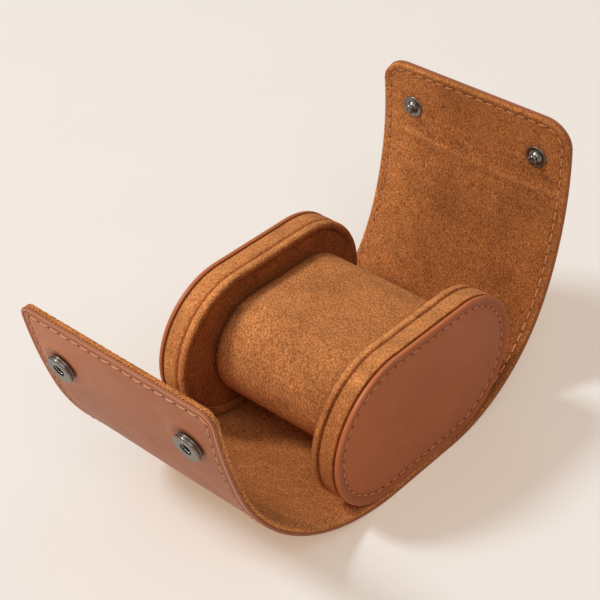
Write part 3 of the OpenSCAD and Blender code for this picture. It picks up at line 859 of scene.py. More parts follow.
def materials(scene):
    """All finishes, made once."""
    wrap, caps, thread = scene.watch_wrap, scene.watch_caps, scene.watch_thread
    wanted = {
        "wrap leather": lambda n: leather_material(n, wrap.leather_colour, 0.32),
        "cap leather": lambda n: leather_material(n, caps.leather_colour, 0.22),
        "lining suede": lambda n: suede_material(n, wrap.suede_colour, 0.52, 0.72),
        "cap suede": lambda n: suede_material(n, caps.suede_colour, 0.60, 0.50),
        "cushion suede": lambda n: suede_material(n, scene.watch_cushion.suede_colour, 0.62, 0.62),
        "leather thread": lambda n: thread_material(n, thread.leather_thread),
        "lining thread": lambda n: thread_material(n, thread.lining_thread),
        "cap thread": lambda n: thread_material(n, thread.cap_thread),
        # Painted shade in the needle holes and in the sockets' bores
        "needle hole": lambda n: mottled_material(n, caps.leather_colour, PIT_SPOTS, 0.16, 0.36),
        "nickel": lambda n: metal_material(n, scene.watch_studs.metal_colour, 0.30),
        "spring steel": lambda n: metal_material(n, (0.62, 0.61, 0.59), 0.22),
        "dark well": lambda n: mottled_material(n, (0.10, 0.10, 0.10), PIT_SPOTS, 0.16, 0.36),
        "grey board": lambda n: mottled_material(n, (0.20, 0.18, 0.16), BOARD_SPOTS, 0.8, 1.2),
        "brown foam": lambda n: mottled_material(n, (0.16, 0.09, 0.05), BOARD_SPOTS, 0.8, 1.2),
    }
    return {n: bpy.data.materials.get(n) or make(n) for n, make in wanted.items()}


# ---------------------------------------------------------------- operators

class WATCHCASE_OT_stage(bpy.types.Operator):
    """Sets the pale floor, the soft studio light and the camera."""

    bl_idname = "watchcase.stage"
    bl_label = "Stage"

    # Half the width of the floor in m
    FLOOR = 6.0

    def direction(self, turn, rise):
        """Unit vector from a turn and a rise in degrees."""
        turn, rise = math.radians(turn), math.radians(rise)
        return Vector((math.cos(turn) * math.cos(rise), math.sin(turn) * math.cos(rise), math.sin(rise)))

    def set_camera(self, scene, stage):
        """Adds the camera and makes it the scene's own."""
        back = self.direction(stage.azimuth - 90, stage.elevation)
        right = self.direction(stage.azimuth, 0)
        shift = right * stage.aside + back.cross(right) * stage.above
        camera = bpy.data.objects.new("camera", bpy.data.cameras.new("camera"))
        scene.collection.objects.link(camera)
        camera.location = shift + back * stage.distance - Vector((0, stage.forward, 0))
        camera.rotation_euler = (-back).to_track_quat("-Z", "Y").to_euler()
        camera.data.sensor_width = 36
        camera.data.lens = stage.lens
        scene.camera = camera

    def set_lamp(self, scene, name, aim, distance, width, energy):
        """Adds a round lamp on the side aim points to, turned to the case."""
        light = bpy.data.lights.new(name, "AREA")
        light.shape = "DISK"
        light.size = width
        light.energy = energy
        lamp = bpy.data.objects.new(name, light)
        lamp.location = aim * distance
        lamp.rotation_euler = aim.to_track_quat("Z", "Y").to_euler()
        scene.collection.objects.link(lamp)

    def set_sky(self, scene, strength):
        """Even light all round; mirrors see a brighter ceiling and dark walls."""
        world = bpy.data.worlds.new("studio")
        world.use_nodes = True
        n = Nodes(world.node_tree)
        even, output = world.node_tree.nodes["Background"], world.node_tree.nodes["World Output"]
        n.feed(even.inputs["Color"], (1, 1, 1, 1))
        n.feed(even.inputs["Strength"], strength)
        axes = n.add("ShaderNodeSeparateXYZ", {0: n.add("ShaderNodeTexCoord").outputs["Generated"]})
        height = n.ramp(axes.outputs["Z"], 0.10, 0.95, (0.15, 0.75))
        mirrored = n.add("ShaderNodeBackground", {"Strength": height})
        glossy = n.add("ShaderNodeLightPath").outputs["Is Glossy Ray"]
        choose = n.add("ShaderNodeMixShader", {0: glossy, 1: even.outputs[0], 2: mirrored.outputs[0]})
        n.feed(output.inputs["Surface"], choose.outputs[0])
        scene.world = world

    def execute(self, context):
        scene = context.scene
        stage = scene.watch_stage
        self.set_camera(scene, stage)

        corners = [(x * self.FLOOR, y * self.FLOOR, 0) for x, y in ((-1, -1), (1, -1), (1, 1), (-1, 1))]
        mesh = bpy.data.meshes.new("floor")
        mesh.from_pydata(corners, [], [(0, 1, 2, 3)])
        mesh.materials.append(floor_material("pale floor", stage.floor_colour))
        floor = bpy.data.objects.new("floor", mesh)
        scene.collection.objects.link(floor)

        for name in ("key", "fill"):
            turn, rise, width, energy = (getattr(stage, f"{name}_{what}")
                                         for what in ("azimuth", "elevation", "size", "energy"))
            self.set_lamp(scene, name, self.direction(turn, rise), stage.lamp_distance, width, energy)
        self.set_sky(scene, stage.sky_strength)
        scene.view_settings.view_transform = "Standard"
        return {"FINISHED"}


class WATCHCASE_OT_wrap(bpy.types.Operator):
    """Makes the leather and the suede lining of the wrap, in pieces that bend across the hinges."""

    bl_idname = "watchcase.wrap"
    bl_label = "Leather and lining"

    # Spacing in mm of a skin's points along the wrap, on a strip and on a free end
    STRIP_STEP, END_STEP = 1.0, 0.75

    def execute(self, context):
        scene = context.scene
        wrap = scene.watch_wrap
        finish = materials(scene)
        skins = (
            ("leather", leather_depths, leather_highlight_and_shade, 0.0, finish["wrap leather"], "leather"),
            ("lining", lining_depths, lining_light_and_wear, wrap.lining_inset, finish["lining suede"], "suede"),
        )
        for name, s0, s1, flap, before, after, ends in segments():
            is_end = name.endswith("end")
            for skin, depths, shading_and_wear, inset, material, slot in skins:
                if is_end:
                    layout = end_layout(flap, flap.cuts[6], wrap.half_width, inset, self.END_STEP)
                else:
                    layout = strip_layout(s0, s1, wrap.half_width - inset, self.STRIP_STEP)
                x, s, e, _ = layout
                outer, inner = depths(x, s, e, flap if is_end else None, scene)
                piece = slab(f"{skin}_{name}", layout, outer, inner, material, slot, shading_and_wear(x, s, e, scene))
                attach(piece, before, after, ends, wrap.wrap_thickness)
                strip = "6" if is_end else name[-1]
                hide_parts(f"base_{skin}" if flap is None else f"{flap.side}_{skin}_{strip}")
        return {"FINISHED"}


class WATCHCASE_OT_seams(bpy.types.Operator):
    """Sews round the wrap, on the leather and on the lining."""

    bl_idname = "watchcase.seams"
    bl_label = "Seams of the wrap"

    # In mm: how deep a seam lies below its face, and how far its stitches stand up from there
    DEPTH = {"leather": 0.24, "lining": 0.28}
    LIFT = {"leather": 0.10, "lining": 0.17}
    # In mm: inset of the dark pits where stitches close the edge, painted shade of their holes and of the
    # joint, and their depth below the leather's inner face
    EDGE_INSET, EDGE_DEPTH = 0.24, 0.12
    # Size of those pits beside the needle holes' size
    EDGE_GROW = 0.8
    # The caps cover the lining's seam this far past their straight runs, in mm
    COVERED = 4.0
    # Points along a side, round a corner and along a tip, and the least radius of a corner in mm
    SIDE_POINTS, CORNER_POINTS, TIP_POINTS = 400, 40, 200
    LEAST_CORNER = 0.6

    def outline(self, half, inset):
        """The line round the whole wrap at an inset, as x and s, without its last point."""
        parts = []
        for flap in (REAR, FRONT):
            r = max(flap.corner - inset, self.LEAST_CORNER)
            cx, cs = half - inset - r, flap.length - inset - r
            angle = np.linspace(0, math.pi / 2, self.CORNER_POINTS)
            along = np.linspace(0, cs, self.SIDE_POINTS)
            side = np.stack([np.full_like(along, half - inset), along], -1)
            arc = np.stack([cx + r * np.cos(angle), cs + r * np.sin(angle)], -1)
            across = np.linspace(cx, -cx, self.TIP_POINTS)
            tip = np.stack([across, np.full_like(across, cs + r)], -1)
            whole = np.concatenate([side, arc, tip, (arc * [-1, 1])[::-1], (side * [-1, 1])[::-1]])
            parts.append(whole if flap is REAR else whole[::-1] * [1, -1])
        line = np.concatenate(parts)
        return line[np.concatenate([[True], np.linalg.norm(np.diff(line, axis=0), axis=1) > 1e-6])]

    def along_wrap(self, rows, line, s):
        """Rows whose last column is the place along the wrap, in place of that along the seam."""
        rows[:, STATION] = np.interp(rows[:, STATION], running_length(line), s)
        return rows

    def edge_rows(self, wrap, thread):
        """Dark pits where leather and lining are closed at the wrap's edge: painted shade of the stitch holes
        and of the joint.
        """
        edge = self.outline(wrap.half_width, self.EDGE_INSET)
        s = edge[:, 1]
        tangent = np.gradient(edge, axis=0)
        side = unit(np.stack([tangent[:, 1], -tangent[:, 0]], -1))
        ahead = on_wrap(0.0, s + 0.05, 1.0) - on_wrap(0.0, s - 0.05, 1.0)
        in_plane = side[:, :1] * [1.0, 0, 0] + side[:, 1:] * unit(ahead)
        line = on_wrap(*edge.T, wrap.leather_thickness + self.EDGE_DEPTH)
        rows = whip_rows(line, outward(s), in_plane, thread.whip_pitch, self.EDGE_GROW)
        return self.along_wrap(rows, line, s)

    def execute(self, context):
        scene = context.scene
        wrap, thread, caps = scene.watch_wrap, scene.watch_thread, scene.watch_caps
        finish = materials(scene)
        x, s = self.outline(wrap.half_width, thread.inset).T
        swelled = (wrap.base_thickness - wrap.wrap_thickness) * board_share(s)
        rows = {}
        for skin, depth, normals in (
            ("leather", self.DEPTH["leather"], outward(s)),
            ("lining", wrap.wrap_thickness + swelled - self.DEPTH["lining"], -outward(s)),
        ):
            line = on_wrap(x, s, depth)
            sewn = seam_rows(line, normals, thread, thread.pitch, self.LIFT[skin])
            rows[skin] = self.along_wrap(sewn, line, s)
        free = np.abs(rows["lining"][:, STATION]) >= caps.half_straight + self.COVERED
        rows["lining"] = np.concatenate([rows["lining"][free], self.edge_rows(wrap, thread)])
        for skin, slot, radius in (
            ("leather", "leather", thread.radius),
            ("lining", "suede", thread.lining_radius),
        ):
            tree = seam_tree(f"Seam on {skin}", finish[f"{skin} thread"], finish["needle hole"])
            at_s = rows[skin][:, STATION]
            for name, s0, s1, _, before, after, ends in segments():
                low = -math.inf if name == "front_end" else s0
                high = math.inf if name == "rear_end" else s1
                chosen = rows[skin][(at_s >= low) & (at_s < high)]
                seam = sew(f"stitches_{skin}_{name}", chosen, tree, thread.seed, thread.length, radius)
                attach(seam, before, after, ends, wrap.wrap_thickness)
        return {"FINISHED"}


# ---------------------------------------------------------------- stadium-shaped pieces

# Outline with two round ends: their radius, half the straight run, and the middle's y and z
Stadium = namedtuple("Stadium", "radius half_straight y z")


def round_stadium(stadium, spacing):
    """Stations round the outline: spine point and outward direction, both as y and z."""
    half = stadium.half_straight
    straight = np.linspace(-half, half, int(2 * half / spacing) + 1)
    arc = np.linspace(-math.pi / 2, math.pi / 2, int(math.pi * stadium.radius / spacing) + 1)
    spine = [(half, 0)] * len(arc) + [(y, 0) for y in straight[::-1][1:-1]]
    spine += [(-half, 0)] * len(arc) + [(y, 0) for y in straight[1:-1]]
    aim = [(math.cos(a), math.sin(a)) for a in arc] + [(0, 1)] * (len(straight) - 2)
    aim += [(-math.cos(a), -math.sin(a)) for a in arc] + [(0, -1)] * (len(straight) - 2)
    return np.array(spine, float), np.array(aim, float)


def swept(name, side, profile, stadium, material, slot, closed=True, spacing=1.1, relief=None, shading_and_wear=None):
    """Sweeps a profile of (distance from the spine, x) points round a stadium."""
    spine, aim = round_stadium(stadium, spacing)
    r, x = np.asarray(profile, float).T
    y = stadium.y + spine[:, None, 0] + aim[:, None, 0] * r
    z = stadium.z + spine[:, None, 1] + aim[:, None, 1] * r
    out = np.broadcast_to(x, y.shape)
    if relief is not None:
        out = out + relief(np.arange(len(spine))[:, None] / len(spine), r[None, :], x[None, :])
    points = np.stack([side * out, y, z], -1).reshape(-1, 3)
    faces = grid_faces(len(spine), len(r), close_rows=True, close_columns=closed)
    worn = None if shading_and_wear is None else np.broadcast_to(shading_and_wear(r, x, -aim[:, None, 0]), y.shape).ravel()
    return new_piece(name, points, faces, material, slot, shading_and_wear=worn)


# Section of an end panel, from its middle outwards: distance from the spine, depth below the face
PANEL_SECTION = (
    (0, 0), (6, 0), (12, 0.02), (17, 0.06), (20.5, 0.14), (23, 0.26), (25, 0.42), (26.1, 0.56), (26.7, 0.68),
    (27.1, 0.80), (27.3, 0.86), (27.5, 0.88), (27.7, 0.86), (27.95, 0.76), (28.2, 0.64), (28.45, 0.56),
    (28.65, 0.55), (28.8, 0.60), (28.95, 0.58), (29.1, 0.44), (29.3, 0.28), (29.55, 0.14), (29.85, 0.05),
    (30.2, 0.01), (30.5, 0),
)


def panel_profile(radius, face):
    """Outer face of an end panel from its middle to the turned rim, and back inside."""
    inner_r = np.linspace(0, 19.5, 14)
    section = list(zip(inner_r, np.interp(inner_r, *zip(*PANEL_SECTION))))
    section += [point for point in PANEL_SECTION if point[0] > 20]
    rim = 0.75
    for a in np.linspace(0, math.pi / 2, 8):
        section.append((radius - rim + rim * math.sin(a), rim - rim * math.cos(a)))
    section += [(radius, 1.2), (radius - 0.06, 1.45), (radius - 0.22, 1.66), (radius - 0.5, 1.78)]
    section += [(radius - 0.85, 1.82), (30.5, 1.84), (30.3, 2.1), (15, 2.1), (0, 2.1)]
    return [(r, face - depth) for r, depth in section]


def band_profile(radius, face, lip):
    """The suede band between the panel and the groove, a little fuller in its middle."""
    back, front = lip + 4.1, face - 2.02
    front_edge = [(30.2, front), (30.8, front - 0.06), (31.1, front - 0.2), (31.36, front - 0.55),
                  (31.5, front - 1.0)]
    start, run = front - 1.3, back + 2.2 - front
    steps = np.linspace(0, 1, 9)
    outer = [(radius - 0.15 + 0.1 * math.sin(math.pi * t), start + run * t) for t in steps]
    back_edge = [(31.5, back + 0.7), (31.34, back + 0.32), (31.05, back + 0.06), (30.6, back - 0.12),
                 (30.2, back - 0.15)]
    return front_edge + outer + back_edge


# Section of the rolled lip: distance from the spine, distance from the lip's foremost point
LIP_SECTION = (
    (28.12, 4.05), (28.12, 3.0), (28.12, 2.1), (28.16, 1.6), (28.3, 1.1), (28.55, 0.65), (28.9, 0.3),
    (29.35, 0.08), (29.9, 0), (30.45, 0.12), (30.9, 0.42), (31.25, 0.85), (31.5, 1.35), (31.63, 1.9),
    (31.66, 2.45), (31.6, 2.8), (31.44, 3.12), (31.16, 3.38), (30.82, 3.56), (30.5, 3.76), (30.42, 4.2),
    (30.1, 4.3),
)


def inner_profile(floor):
    """The sunk suede panel inside the lip: its padded middle, its rising edge and its back."""
    face = []
    for r in np.linspace(0, 27, 19):
        padding = min(0.35 - 0.35 * smooth_step((r - 22) / 6), 0.3)
        face.append((r, floor - padding))
    return face + [(27.6, floor + 0.02), (28.0, floor + 0.25), (28.05, floor + 0.9), (0, floor + 0.9)]


class WATCHCASE_OT_caps(bpy.types.Operator):
    """Makes the two padded end caps: leather panel, suede band, rolled lip, inner panel and their seams."""

    bl_idname = "watchcase.caps"
    bl_label = "End caps"

    # Rise and half width in mm of the puckers between the needle holes of the channel
    PUCKER, PUCKER_WIDTH = 0.045, 1.1
    # Depth of the channel's seam below the face and height of its stitches above that, in mm
    SEAM_DEPTH, SEAM_LIFT = 0.83, 0.11
    # Dark pits between panel and band, painted shade of the closing stitches' holes and of the gap: distance
    # from the spine and depth below the face, in mm
    WHIP_RADIUS, WHIP_DEPTH = 31.28, 1.94
    # They end this far above the base, in mm
    WHIP_END = 0.8
    # Radius of the channel's needle holes, and depth of the inner panel's rim behind the lip, in mm
    CHANNEL_HOLE, SUNK = 0.32, 1.4

    def execute(self, context):
        scene = context.scene
        caps, thread = scene.watch_caps, scene.watch_thread
        finish = materials(scene)
        leather_tree = seam_tree("Seam on caps", finish["cap thread"], finish["needle hole"])
        groove_tree = seam_tree("Seam in groove", finish["lining thread"], finish["needle hole"])
        face = scene.watch_wrap.half_width
        lip = face - caps.depth
        bottom = scene.watch_wrap.base_thickness
        stadium = Stadium(caps.radius, caps.half_straight, 0.0, bottom + caps.radius)
        perimeter = 4 * caps.half_straight + 2 * math.pi * caps.channel
        stitches = round(perimeter / thread.cap_pitch)

        def pucker(t, r, x):
            """The leather rises a little between two needle holes of the channel."""
            wave = self.PUCKER * np.cos(2 * math.pi * t * stitches)
            return wave * bump(r - caps.channel, self.PUCKER_WIDTH) * (x > face - 1)

        def panel_highlight_and_shade(r, x, front):
            """Painted highlight on the rim, painted shade inside the rim, in the crease and in the sewn
            channel outside; painted shade all over where the panel is turned in.
            """
            outside = x > face - 1.95
            rim = 0.5 * bump(r - caps.radius, 0.4) - 0.28 * bump(r - 30.2, 0.7)
            channel = 0.5 * bump(r - 28.8, 0.35) + 0.7 * bump(r - caps.channel, 0.6)
            return np.where(outside, rim - channel, -1.0)

        def shaded(front):
            """Shade on the front end; front is -1 at the rear and 1 at the front."""
            return shade * smooth_step((front - 0.35) / 0.5)

        def band_shade(r, x, front):
            """Painted shade against the panel, down in the groove, and at the front end."""
            dark = smooth_step((x - face + 3.1) / 0.6) + groove * smooth_step((lip + 4.9 - x) / 0.7)
            return np.maximum(-dark - shaded(front), -1)

        def lip_highlight_and_shade(r, x, front):
            """Painted highlight on top; painted shade inside, down in the groove, and at the front end."""
            inside = 0.8 * smooth_step((31.45 - r) / 0.9) * (x < lip + 1.5)
            in_groove = groove * smooth_step((x - lip - 2.7) / 0.7)
            return 0.15 * bump(x - lip - 1.9, 1.3) - shaded(front) - inside - in_groove

        def inner_panel_shade(r, x, front):
            """Painted shade all over the sunk panel."""
            return -0.84 + 0 * r

        lip_profile = [(r, lip + x) for r, x in LIP_SECTION]
        spine, aim = (np.vstack([values, values[:1]]) for values in round_stadium(stadium, 0.5))

        for side, word in ((1, "right"), (-1, "left")):
            # The right cap turns its groove and its front end away from the light
            groove, shade = 0.26 + 0.2 * side, 0.24 + 0.2 * side
            for part, node, profile, skin, slot, more in (
                ("leather", "panel", panel_profile(caps.radius, face), "cap leather", "cap_leather",
                 {"closed": False, "relief": pucker, "shading_and_wear": panel_highlight_and_shade}),
                ("suede_band", "band", band_profile(caps.radius, face, lip), "cap suede", "suede",
                 {"shading_and_wear": band_shade}),
                ("suede_lip", "lip", lip_profile, "cap suede", "suede", {"shading_and_wear": lip_highlight_and_shade}),
                ("inner_suede", "inner_panel", inner_profile(lip + self.SUNK), "cap suede", "suede",
                 {"closed": False, "shading_and_wear": inner_panel_shade}),
            ):
                piece = swept(f"cap_{word}_{part}", side, profile, stadium, finish[skin], slot, **more)
                settle(piece, "case", f"cap_{word}_{node}")

            across = np.tile([float(side), 0.0, 0.0], (len(aim), 1))
            radial = np.column_stack([np.zeros(len(aim)), aim])

            def ring(r, x):
                around = (stadium.y, stadium.z) + spine + aim * r
                return np.column_stack([np.full(len(aim), side * x), around])

            line = ring(caps.channel, face - self.SEAM_DEPTH)
            rows = seam_rows(line, across, thread, thread.cap_pitch, self.SEAM_LIFT)
            seam = sew(f"cap_{word}_stitches", rows, leather_tree, thread.seed,
                       thread.cap_length, thread.radius, hole=self.CHANNEL_HOLE)
            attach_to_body(seam, "case")
            line = ring(self.WHIP_RADIUS, face - self.WHIP_DEPTH)
            rows = whip_rows(line, across, radial, thread.whip_pitch, 1.0)
            rows = rows[rows[:, 2] > bottom + self.WHIP_END]
            seam = sew(f"cap_{word}_whip_stitches", rows, groove_tree, thread.seed,
                       thread.length, thread.radius)
            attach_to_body(seam, "case")
        return {"FINISHED"}


class WATCHCASE_OT_cushion(bpy.types.Operator):
    """Makes the suede cushion and lets its filling swell the cover."""

    bl_idname = "watchcase.cushion"
    bl_label = "Cushion"

    # The cover is simulated as cloth at this many times its size, for so many frames
    SCALE, FRAMES = 10.0, 20
    # Width of its mesh at that size in m
    VOXEL = 0.018
    # Radius of the block's rounded edge, and least distance of the cover from its box, in mm
    BLOCK_EDGE, MARGIN = 4.2, 0.02

    def block_profile(self, half_x, r):
        """Half section of a block with rounded ends: distance from the spine, x."""
        edge = self.BLOCK_EDGE
        flat = np.linspace(2, r - edge, 8)
        start = np.linspace(0.2, math.pi / 2, 7)
        end = np.linspace(0, math.pi / 2 - 0.2, 7)
        profile = [(0.0, -half_x)] + [(t, -half_x) for t in flat]
        profile += [(r - edge + edge * math.sin(a), edge - half_x - edge * math.cos(a)) for a in start]
        profile += [(r, t) for t in np.linspace(edge - half_x, half_x - edge, 26)[1:-1]]
        profile += [(r - edge + edge * math.cos(a), half_x - edge + edge * math.sin(a)) for a in end]
        return profile + [(t, half_x) for t in flat[::-1]] + [(0.0, half_x)]

    def execute(self, context):
        scene = context.scene
        cushion = scene.watch_cushion
        low, high = (np.array(corner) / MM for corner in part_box("cushion_cover"))
        x, y, z = (low + high) / 2
        half_x, half_y, half_z = (high - low) / 2
        stadium = Stadium(half_z - cushion.slack, half_y - half_z, y, z)
        profile = self.block_profile(half_x - cushion.slack, stadium.radius)
        material = materials(scene)["cushion suede"]
        piece = swept("cushion_suede", 1, profile, stadium, material, "cushion_suede", closed=False,
                      spacing=2.0)
        self.swell(context, piece, cushion)
        mesh = piece.data
        points = self.hold_out(read(mesh) / MM, low, high, cushion)
        points = np.clip(points, low + self.MARGIN, high - self.MARGIN)
        move_points(mesh, points * MM)
        set_light_and_wear(mesh, self.shading_and_wear(points, x, high[0]))
        mesh.polygons.foreach_set("use_smooth", [True] * len(mesh.polygons))
        mesh.update()
        settle(piece, "cushion", "cushion_cover")
        return {"FINISHED"}

    def shading_and_wear(self, points, middle, end):
        """Painted shade where the caps meet it, and painted light at the rear and the far front."""
        x, y, _ = points.T
        # Painted shade next to the caps
        painted_shade = 0.75 * smooth_step((np.abs(x - middle) - end + 7.5) / 6)
        # Painted light along the rear and on the far front
        pale = smooth_step((y - 18) / 9) + smooth_step((-x - 4) / 18) * smooth_step((6 - y) / 20)
        return 0.22 * pale - painted_shade

    def hold_out(self, points, low, high, cushion):
        """Moves points out until a skin is left between them and the rounded block of foam."""
        deepest = 1.0 - cushion.skin
        edge, r = cushion.edge, (high[2] - low[2]) / 2
        away = points - (low + high) / 2
        straight = (high[1] - low[1]) / 2 - r
        spine = np.clip(away[:, 1], -straight, straight)
        radial = np.stack([0 * spine, away[:, 1] - spine, away[:, 2]], -1)
        radius = np.linalg.norm(radial, axis=1)
        over = np.stack([radius - (r - edge), np.abs(away[:, 0]) - ((high[0] - low[0]) / 2 - edge)], -1)
        outside = np.maximum(over, 0)
        length = np.linalg.norm(outside, axis=1)
        depth = edge - length - np.minimum(over.max(1), 0)
        nearest_side = np.eye(2)[over.argmax(1)]
        steer = np.where((length > 1e-6)[:, None], outside / np.maximum(length, 1e-6)[:, None], nearest_side)
        out = radial / np.maximum(radius, 1e-6)[:, None] * steer[:, :1]
        out[:, 0] = np.sign(away[:, 0]) * steer[:, 1]
        return points + out * np.maximum(depth - deepest, 0)[:, None]

    def swell(self, context, piece, cushion):
        """Lets the cover swell as enlarged cloth under pressure, with each point's move capped."""
        scene = context.scene
        move_points(piece.data, read(piece.data) * self.SCALE)
        remesh = piece.modifiers.new("Even mesh", "REMESH")
        remesh.mode = "VOXEL"
        remesh.voxel_size = self.VOXEL
        even = evaluated(piece)
        piece.data = even
        before = read(even)
        cloth = piece.modifiers.new("Filling", "CLOTH")
        cloth.settings.quality = 6
        cloth.settings.mass = 0.3
        cloth.settings.tension_stiffness = 12
        cloth.settings.compression_stiffness = 12
        cloth.settings.bending_stiffness = 0.8
        cloth.settings.use_pressure = True
        cloth.settings.uniform_pressure_force = cushion.pressure
        cloth.settings.effector_weights.gravity = 0
        cloth.collision_settings.use_collision = False
        for step in range(1, self.FRAMES + 1):
            scene.frame_set(step)
        soft = evaluated(piece)
        scene.frame_set(1)
        after, normals = read(soft), read(even, "normal")
        out = ((after - before) * normals).sum(1)
        cap = np.where(out > 0, cushion.swell, cushion.sink) * MM * self.SCALE
        move = (cap * np.tanh(out / cap))[:, None] * normals
        move_points(soft, (before + move) / self.SCALE)
        piece.data = soft
        smooth = piece.modifiers.new("Smooth", "SUBSURF")
        smooth.levels = 1
        smooth.render_levels = 1
        piece.data = evaluated(piece)


# ---------------------------------------------------------------- press studs

def turned(name, profile, flap, depth, facing, offset, material, slot, steps=48):
    """Two turned metal parts on a flap; the profile is (radius, height over the face)."""
    r, height = np.asarray(profile, float).T
    angle = np.arange(steps) * 2 * math.pi / steps
    s = flap.sign * flap.snap_at
    base = on_wrap(0.0, s, depth)
    normal = outward(s) * facing
    ring = np.cos(angle)[:, None] * [1.0, 0, 0] + np.sin(angle)[:, None] * np.cross(normal, [1.0, 0, 0])
    shape = ring[:, None, :] * r[None, :, None] + normal * height[None, :, None]
    points = [(shape + base + [sign * offset, 0, 0]).reshape(-1, 3) for sign in (-1, 1)]
    quads = grid_faces(steps, len(r), close_rows=True, close_columns=True)
    faces = np.concatenate([quads, quads + len(points[0])])
    return new_piece(name, np.concatenate(points), faces, material, slot, sharp=38)


def rounded(points, radius, steps=4):
    """Rounds the corners of a closed outline of (r, z) points, except those on the axis."""
    result = []
    count = len(points)
    for i in range(count):
        p, a, b = (np.array(points[k % count], float) for k in (i, i - 1, i + 1))
        if p[0] <= 1e-6:
            result.append(tuple(p))
            continue
        u, v = a - p, b - p
        length_u, length_v = np.linalg.norm(u), np.linalg.norm(v)
        r = min(radius, 0.45 * length_u, 0.45 * length_v)
        start, end = p + u / length_u * r, p + v / length_v * r
        for t in np.linspace(0, 1, steps):
            result.append(tuple((1 - t) ** 2 * start + 2 * t * (1 - t) * p + t * t * end))
    return result


def socket_profile(r, h):
    """A ring with a grooved rim round a well that widens below its lip."""
    foot = [(1.6, 0.0), (r - 0.5, 0.0), (r - 0.42, 0.35), (r - 0.16, 0.5), (r - 0.05, 0.62), (r - 0.05, 1.0)]
    rim = [(r - 0.2, 1.1), (r - 0.2, 1.22), (r, 1.34), (r, h - 0.4), (r - 0.35, h), (r - 0.8, h - 0.07)]
    lip = [(2.75, h - 0.06), (2.4, h - 0.16), (2.25, h - 0.34), (2.2, 2.1)]
    return foot + rim + lip + [(2.9, 2.0), (2.9, 0.4), (1.6, 0.4)]


def stud_profile(r):
    """A dished base and a ball-headed stud with a dimple in its top."""
    rim = [(0, 0.0), (r - 0.3, 0.0), (r, 0.18), (r, 0.42), (r - 0.22, 0.62), (r - 0.6, 0.56), (r - 1.3, 0.40)]
    neck = [(2.75, 0.46), (2.35, 0.72), (1.95, 1.15), (1.62, 1.5), (1.6, 1.9), (1.72, 2.2)]
    return rim + neck + [(1.98, 2.55), (1.98, 2.8), (1.75, 3.12), (1.3, 3.28), (0.75, 3.3), (0.5, 3.16),
                         (0, 3.08)]


FLANGE_RADIUS = 4.2
FLANGE_PROFILE = ((0, 0.62), (2.0, 0.60), (3.4, 0.5), (4.1, 0.3), (FLANGE_RADIUS, 0.12), (4.1, 0.0),
                  (1.5, 0.0), (1.5, -3.1), (2.0, -3.1), (2.0, -3.4), (0, -3.4))
DOME_PROFILE = ((0, 2.2), (1.6, 2.13), (3.0, 1.95), (4.3, 1.6), (5.3, 1.1), (5.9, 0.6), (6.15, 0.25),
                (6.0, 0.02), (5.4, 0.0), (1.2, 0.0), (1.2, -2.5), (0, -2.5))


class WATCHCASE_OT_press_studs(bpy.types.Operator):
    """Turns the sockets, studs, flanges and domed caps of the two press studs."""

    bl_idname = "watchcase.press_studs"
    bl_label = "Press studs"

    # Radius inside which a socket is painted dark for the shade in its bore, and how far below its top, in mm
    WELL_RADIUS, WELL_DEPTH = 2.95, 0.2
    # Gap in mm between a stud's base and the lining
    STUD_GAP = 0.06

    def paint_well_shade(self, piece, material, height, offset):
        """Paints shade, near black, over what lies inside the bores of the sockets, below their lips."""
        s = FRONT.sign * FRONT.snap_at
        centre, normal = on_wrap(0.0, s, 0.0), outward(s)
        below = height - self.WELL_DEPTH
        piece.data.materials.append(material)
        for polygon in piece.data.polygons:
            middle = np.array(polygon.center)
            away = middle / MM - centre - [math.copysign(offset, middle[0]), 0, 0]
            above = float(away @ normal)
            from_axis = np.linalg.norm(away - above * normal)
            polygon.material_index = int(from_axis < self.WELL_RADIUS and above < below)

    def execute(self, context):
        scene = context.scene
        studs = scene.watch_studs
        skin = scene.watch_wrap.wrap_thickness
        finish = materials(scene)
        height = studs.socket_height
        # A flange with its rim on the curved lining stands this far off it in its middle
        lining_radius = FRONT.arcs[-1][1] - skin
        drop = FLANGE_RADIUS ** 2 / (2 * lining_radius)
        socket, stud = socket_profile(studs.socket_radius, height), stud_profile(studs.stud_radius)
        for name, profile, corner, flap, depth, facing, slot, node in (
            ("sockets", socket, 0.16, FRONT, 0.0, 1, "stud_metal", "snap_sockets"),
            ("socket_rivets", FLANGE_PROFILE, 0.1, FRONT, skin + drop, -1, "spring_steel", "socket_posts"),
            ("studs", stud, 0.14, REAR, skin + self.STUD_GAP, -1, "stud_metal", "snap_studs"),
            ("button_caps", DOME_PROFILE, 0.2, REAR, 0.0, 1, "stud_metal", "snap_caps"),
        ):
            outline = rounded(profile, corner)
            piece = turned(name, outline, flap, depth, facing, studs.offset, finish["nickel"], slot)
            if name == "sockets":
                self.paint_well_shade(piece, finish["dark well"], height, studs.offset)
            settle(piece, f"{flap.side}_strip_6", node)
        return {"FINISHED"}


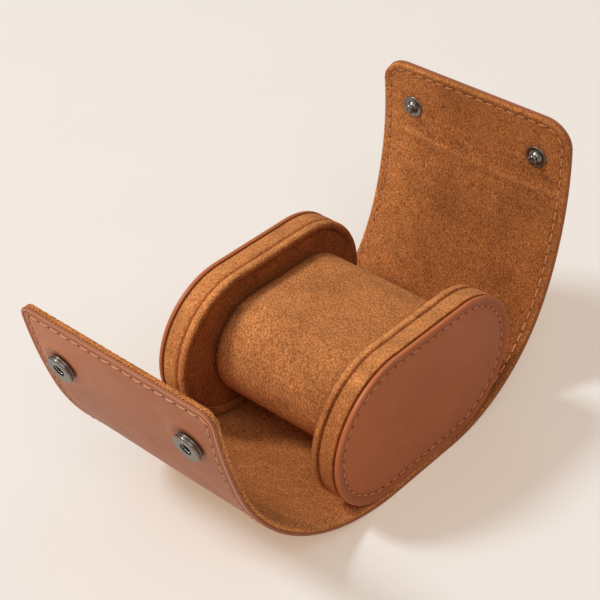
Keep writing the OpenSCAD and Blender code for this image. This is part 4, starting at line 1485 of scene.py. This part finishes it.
class WATCHCASE_OT_inner_parts(bpy.types.Operator):
    """Gives the boards, foam, stiffeners and spring rings inside the covers their finishes."""

    bl_idname = "watchcase.inner_parts"
    bl_label = "Inner parts"

    def execute(self, context):
        finish = materials(context.scene)
        for name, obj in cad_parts.items():
            if name.endswith("core"):
                material = finish["brown foam"]
            elif name.endswith("springs"):
                material = finish["spring steel"]
            else:
                material = finish["grey board"]
            for slot in obj.material_slots:
                slot.material = material
        return {"FINISHED"}


class WATCHCASE_PT_panel(bpy.types.Panel):
    """Lists the pieces of the case and their sizes."""

    bl_label = "Watch case"
    bl_idname = "WATCHCASE_PT_panel"
    bl_space_type = "VIEW_3D"
    bl_region_type = "UI"
    bl_category = "Watch case"

    def draw(self, context):
        for operator in OPERATORS:
            self.layout.operator(operator.bl_idname)
        for name, group in SETTINGS.items():
            box = self.layout.box()
            for key in group.__annotations__:
                box.prop(getattr(context.scene, name), key)


OPERATORS = (
    WATCHCASE_OT_stage,
    WATCHCASE_OT_wrap,
    WATCHCASE_OT_seams,
    WATCHCASE_OT_caps,
    WATCHCASE_OT_cushion,
    WATCHCASE_OT_press_studs,
    WATCHCASE_OT_inner_parts,
)


def register():
    for group in SETTINGS.values():
        bpy.utils.register_class(group)
    for name, group in SETTINGS.items():
        setattr(bpy.types.Scene, name, PointerProperty(type=group))
    for operator in OPERATORS:
        bpy.utils.register_class(operator)
    bpy.utils.register_class(WATCHCASE_PT_panel)


def unregister():
    bpy.utils.unregister_class(WATCHCASE_PT_panel)
    for operator in reversed(OPERATORS):
        bpy.utils.unregister_class(operator)
    for name in SETTINGS:
        delattr(bpy.types.Scene, name)
    for group in SETTINGS.values():
        bpy.utils.unregister_class(group)


def main():
    register()
    bpy.ops.watchcase.stage()
    bpy.ops.watchcase.wrap()
    bpy.ops.watchcase.seams()
    bpy.ops.watchcase.caps()
    bpy.ops.watchcase.cushion()
    bpy.ops.watchcase.press_studs()
    bpy.ops.watchcase.inner_parts()


if __name__ == "__main__":
    main()
